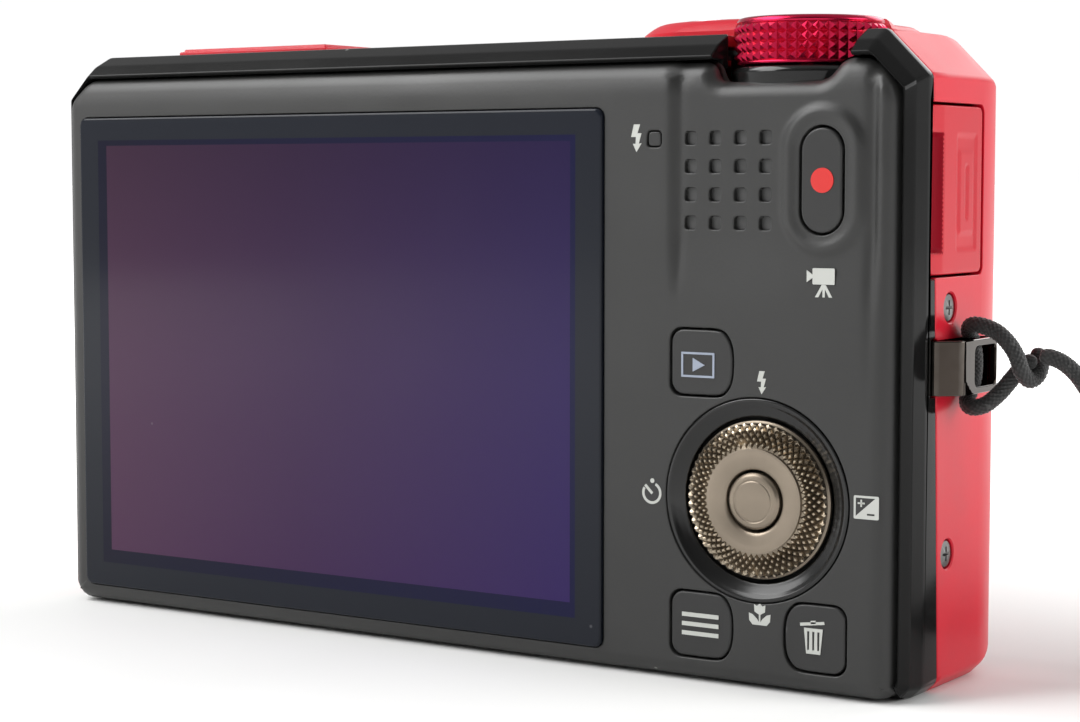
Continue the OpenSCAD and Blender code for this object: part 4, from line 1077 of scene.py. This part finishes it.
door_loop = refine(rounded(
    [(-7.4, 39.3), (4.38, 39.3), (4.38, 55.0), (-7.4, 55.0)], [1.2, 0.7, 0.7, 1.2]), 0.5)
door_face = relief(door_loop, [], lattice(-7.35, 4.4, 39.3, 55.0, 0.24), door_drop, quarter(0.22, 4),
                   back=1.1)
door = add("connector_door_cover",
           join(laid(door_face, "x", 52.35, -1), block((50.9, -4.4, 41.2), (51.3, 2, 52.6))),
           "connector_door", "red_plastic", ("connector_door",), angle=45, weighted=False)
# Faces in the finger scoop take the darker red: painted shade in the recess.
door.data.materials.append(M["red_scoop_shade"])
for polygon in door.data.polygons:
    x, y, z = polygon.center / MM
    polygon.material_index = int(x > 51.35 and -7.1 < y < -4.5 and 41.3 < z < 52.5)


# ------------ CAD pieces that keep their own shape

KEPT = {
    "frame": "chassis speaker", "rubber": "front_grip usb_cover", "dark": "display_panel control_board",
    "board": "main_board", "band": "lens_bezel", "red": "flash_cover", "clear": "flash_window",
    "barrel": "lens_housing outer_barrel middle_barrel inner_barrel front_ring",
    "glass": "front_lens zoom_lens rear_lens", "sensor": "image_sensor", "reflector": "flash_reflector",
    "blade": "blade_top_near blade_top_far blade_low_near blade_low_far", "sleeve": "flash_capacitor",
    "button": "flash_head battery_bay door_latch", "amber": "focus_lamp", "nickel": "hdmi_port usb_port",
    "satin": "zoom_lever shutter_button power_button tripod_socket", "cell": "battery",
    "card": "memory_card", "red_plastic": "battery_door", "screw": "door_pin"}
BEVEL = {"blade_top_near": 0.02, "blade_top_far": 0.02, "blade_low_near": 0.02, "blade_low_far": 0.02,
         "door_pin": 0.04, "flash_cover": 0.15, "front_grip": 0.0, "front_lens": 0.05}

for mat, names in KEPT.items():
    for name in names.split():
        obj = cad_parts[name]
        if obj.hide_render:
            continue
        obj.data.materials.clear()
        obj.data.materials.append(M[mat])
        for polygon in obj.data.polygons:
            polygon.use_smooth = True
            polygon.material_index = 0
        obj.modifiers.new("weld", "WELD").merge_threshold = 2e-6
        obj.modifiers.new("even_normals", "WEIGHTED_NORMAL").keep_sharp = True
        width = BEVEL.get(name, 0.08)
        if width:
            bevelled(obj, width, 50, clamp=True)
            obj.modifiers.move(0, 1)


# ------------ stage and light

floor = raw_object("floor", [], [])
floor.data.from_pydata([(x, y, 0.0) for x, y in circle(0, 0, 30, 96)], [], [tuple(range(96))])
glowing_floor = surface("floor_white", (0.88, 0.88, 0.87), 0.6, None, tone=0.01, tone_scale=8.0,
               Specular_IOR_Level=0.1)
tree = glowing_floor.node_tree
# The floor glows though it is no lamp (painted light): emission is none within about 6 cm of the middle and
# full past 35 cm, so the floor round the body stays darker as painted shade.
reach = node(tree, "VectorMath", {0: here(tree)}, operation="LENGTH")["Value"]
shader = tree.nodes["Principled BSDF"]
tree.links.new(ramp(tree, reach, (0.06, 0.0), (0.35, 1.0)), shader.inputs["Emission Color"])
shader.inputs["Emission Strength"].default_value = 0.68
floor.data.materials.append(glowing_floor)

SCENE.view_settings.view_transform = "Standard"
world = bpy.data.worlds.new("studio")
SCENE.world = world
world.use_nodes = True
tree = world.node_tree
ahead = node(tree, "TexCoord", {})["Generated"]
up = node(tree, "SeparateXYZ", {"Vector": ahead})["Z"]
side = node(tree, "VectorMath", {0: ahead, 1: (0.35, -0.94, 0.0)}, operation="DOT_PRODUCT")["Value"]
behind = times(tree, ramp(tree, side, (0.25, 0.0), (0.75, 1.0)), ramp(tree, up, (0.09, 0.0), (0.2, 1.0)))
sky = mix(tree, behind, ramp(tree, up, (0.0, 1.0), (0.12, 1.0), (0.28, 0.42), (1.0, 0.5)), 0.08)
background = tree.nodes["Background"]
tree.links.new(sky, background.inputs["Color"])
background.inputs["Strength"].default_value = 1.02

for name, place, aim, size, tall, power in (
        ("key_above", (-0.5, -0.3, 0.75), (0, 0, 0.03), 0.8, 0.5, 7.5),
        ("front_left", (-0.6, -0.68, 0.5), (0, 0, 0.03), 0.5, 0.35, 3.5),
        ("side_right", (0.9, 0.3, 0.36), (0, 0, 0.02), 0.5, 0.5, 5.6),
        ("rim_behind", (0.1, 0.9, 0.5), (0, 0, 0.03), 0.7, 0.4, 2.5)):
    data = bpy.data.lights.new(name, "AREA")
    data.shape = "RECTANGLE"
    data.size = size
    data.size_y = tall
    data.energy = power
    light = bpy.data.objects.new(name, data)
    light.location = place
    light.rotation_euler = (Vector(aim) - Vector(place)).to_track_quat("-Z", "Y").to_euler()
    SCENE.collection.objects.link(light)
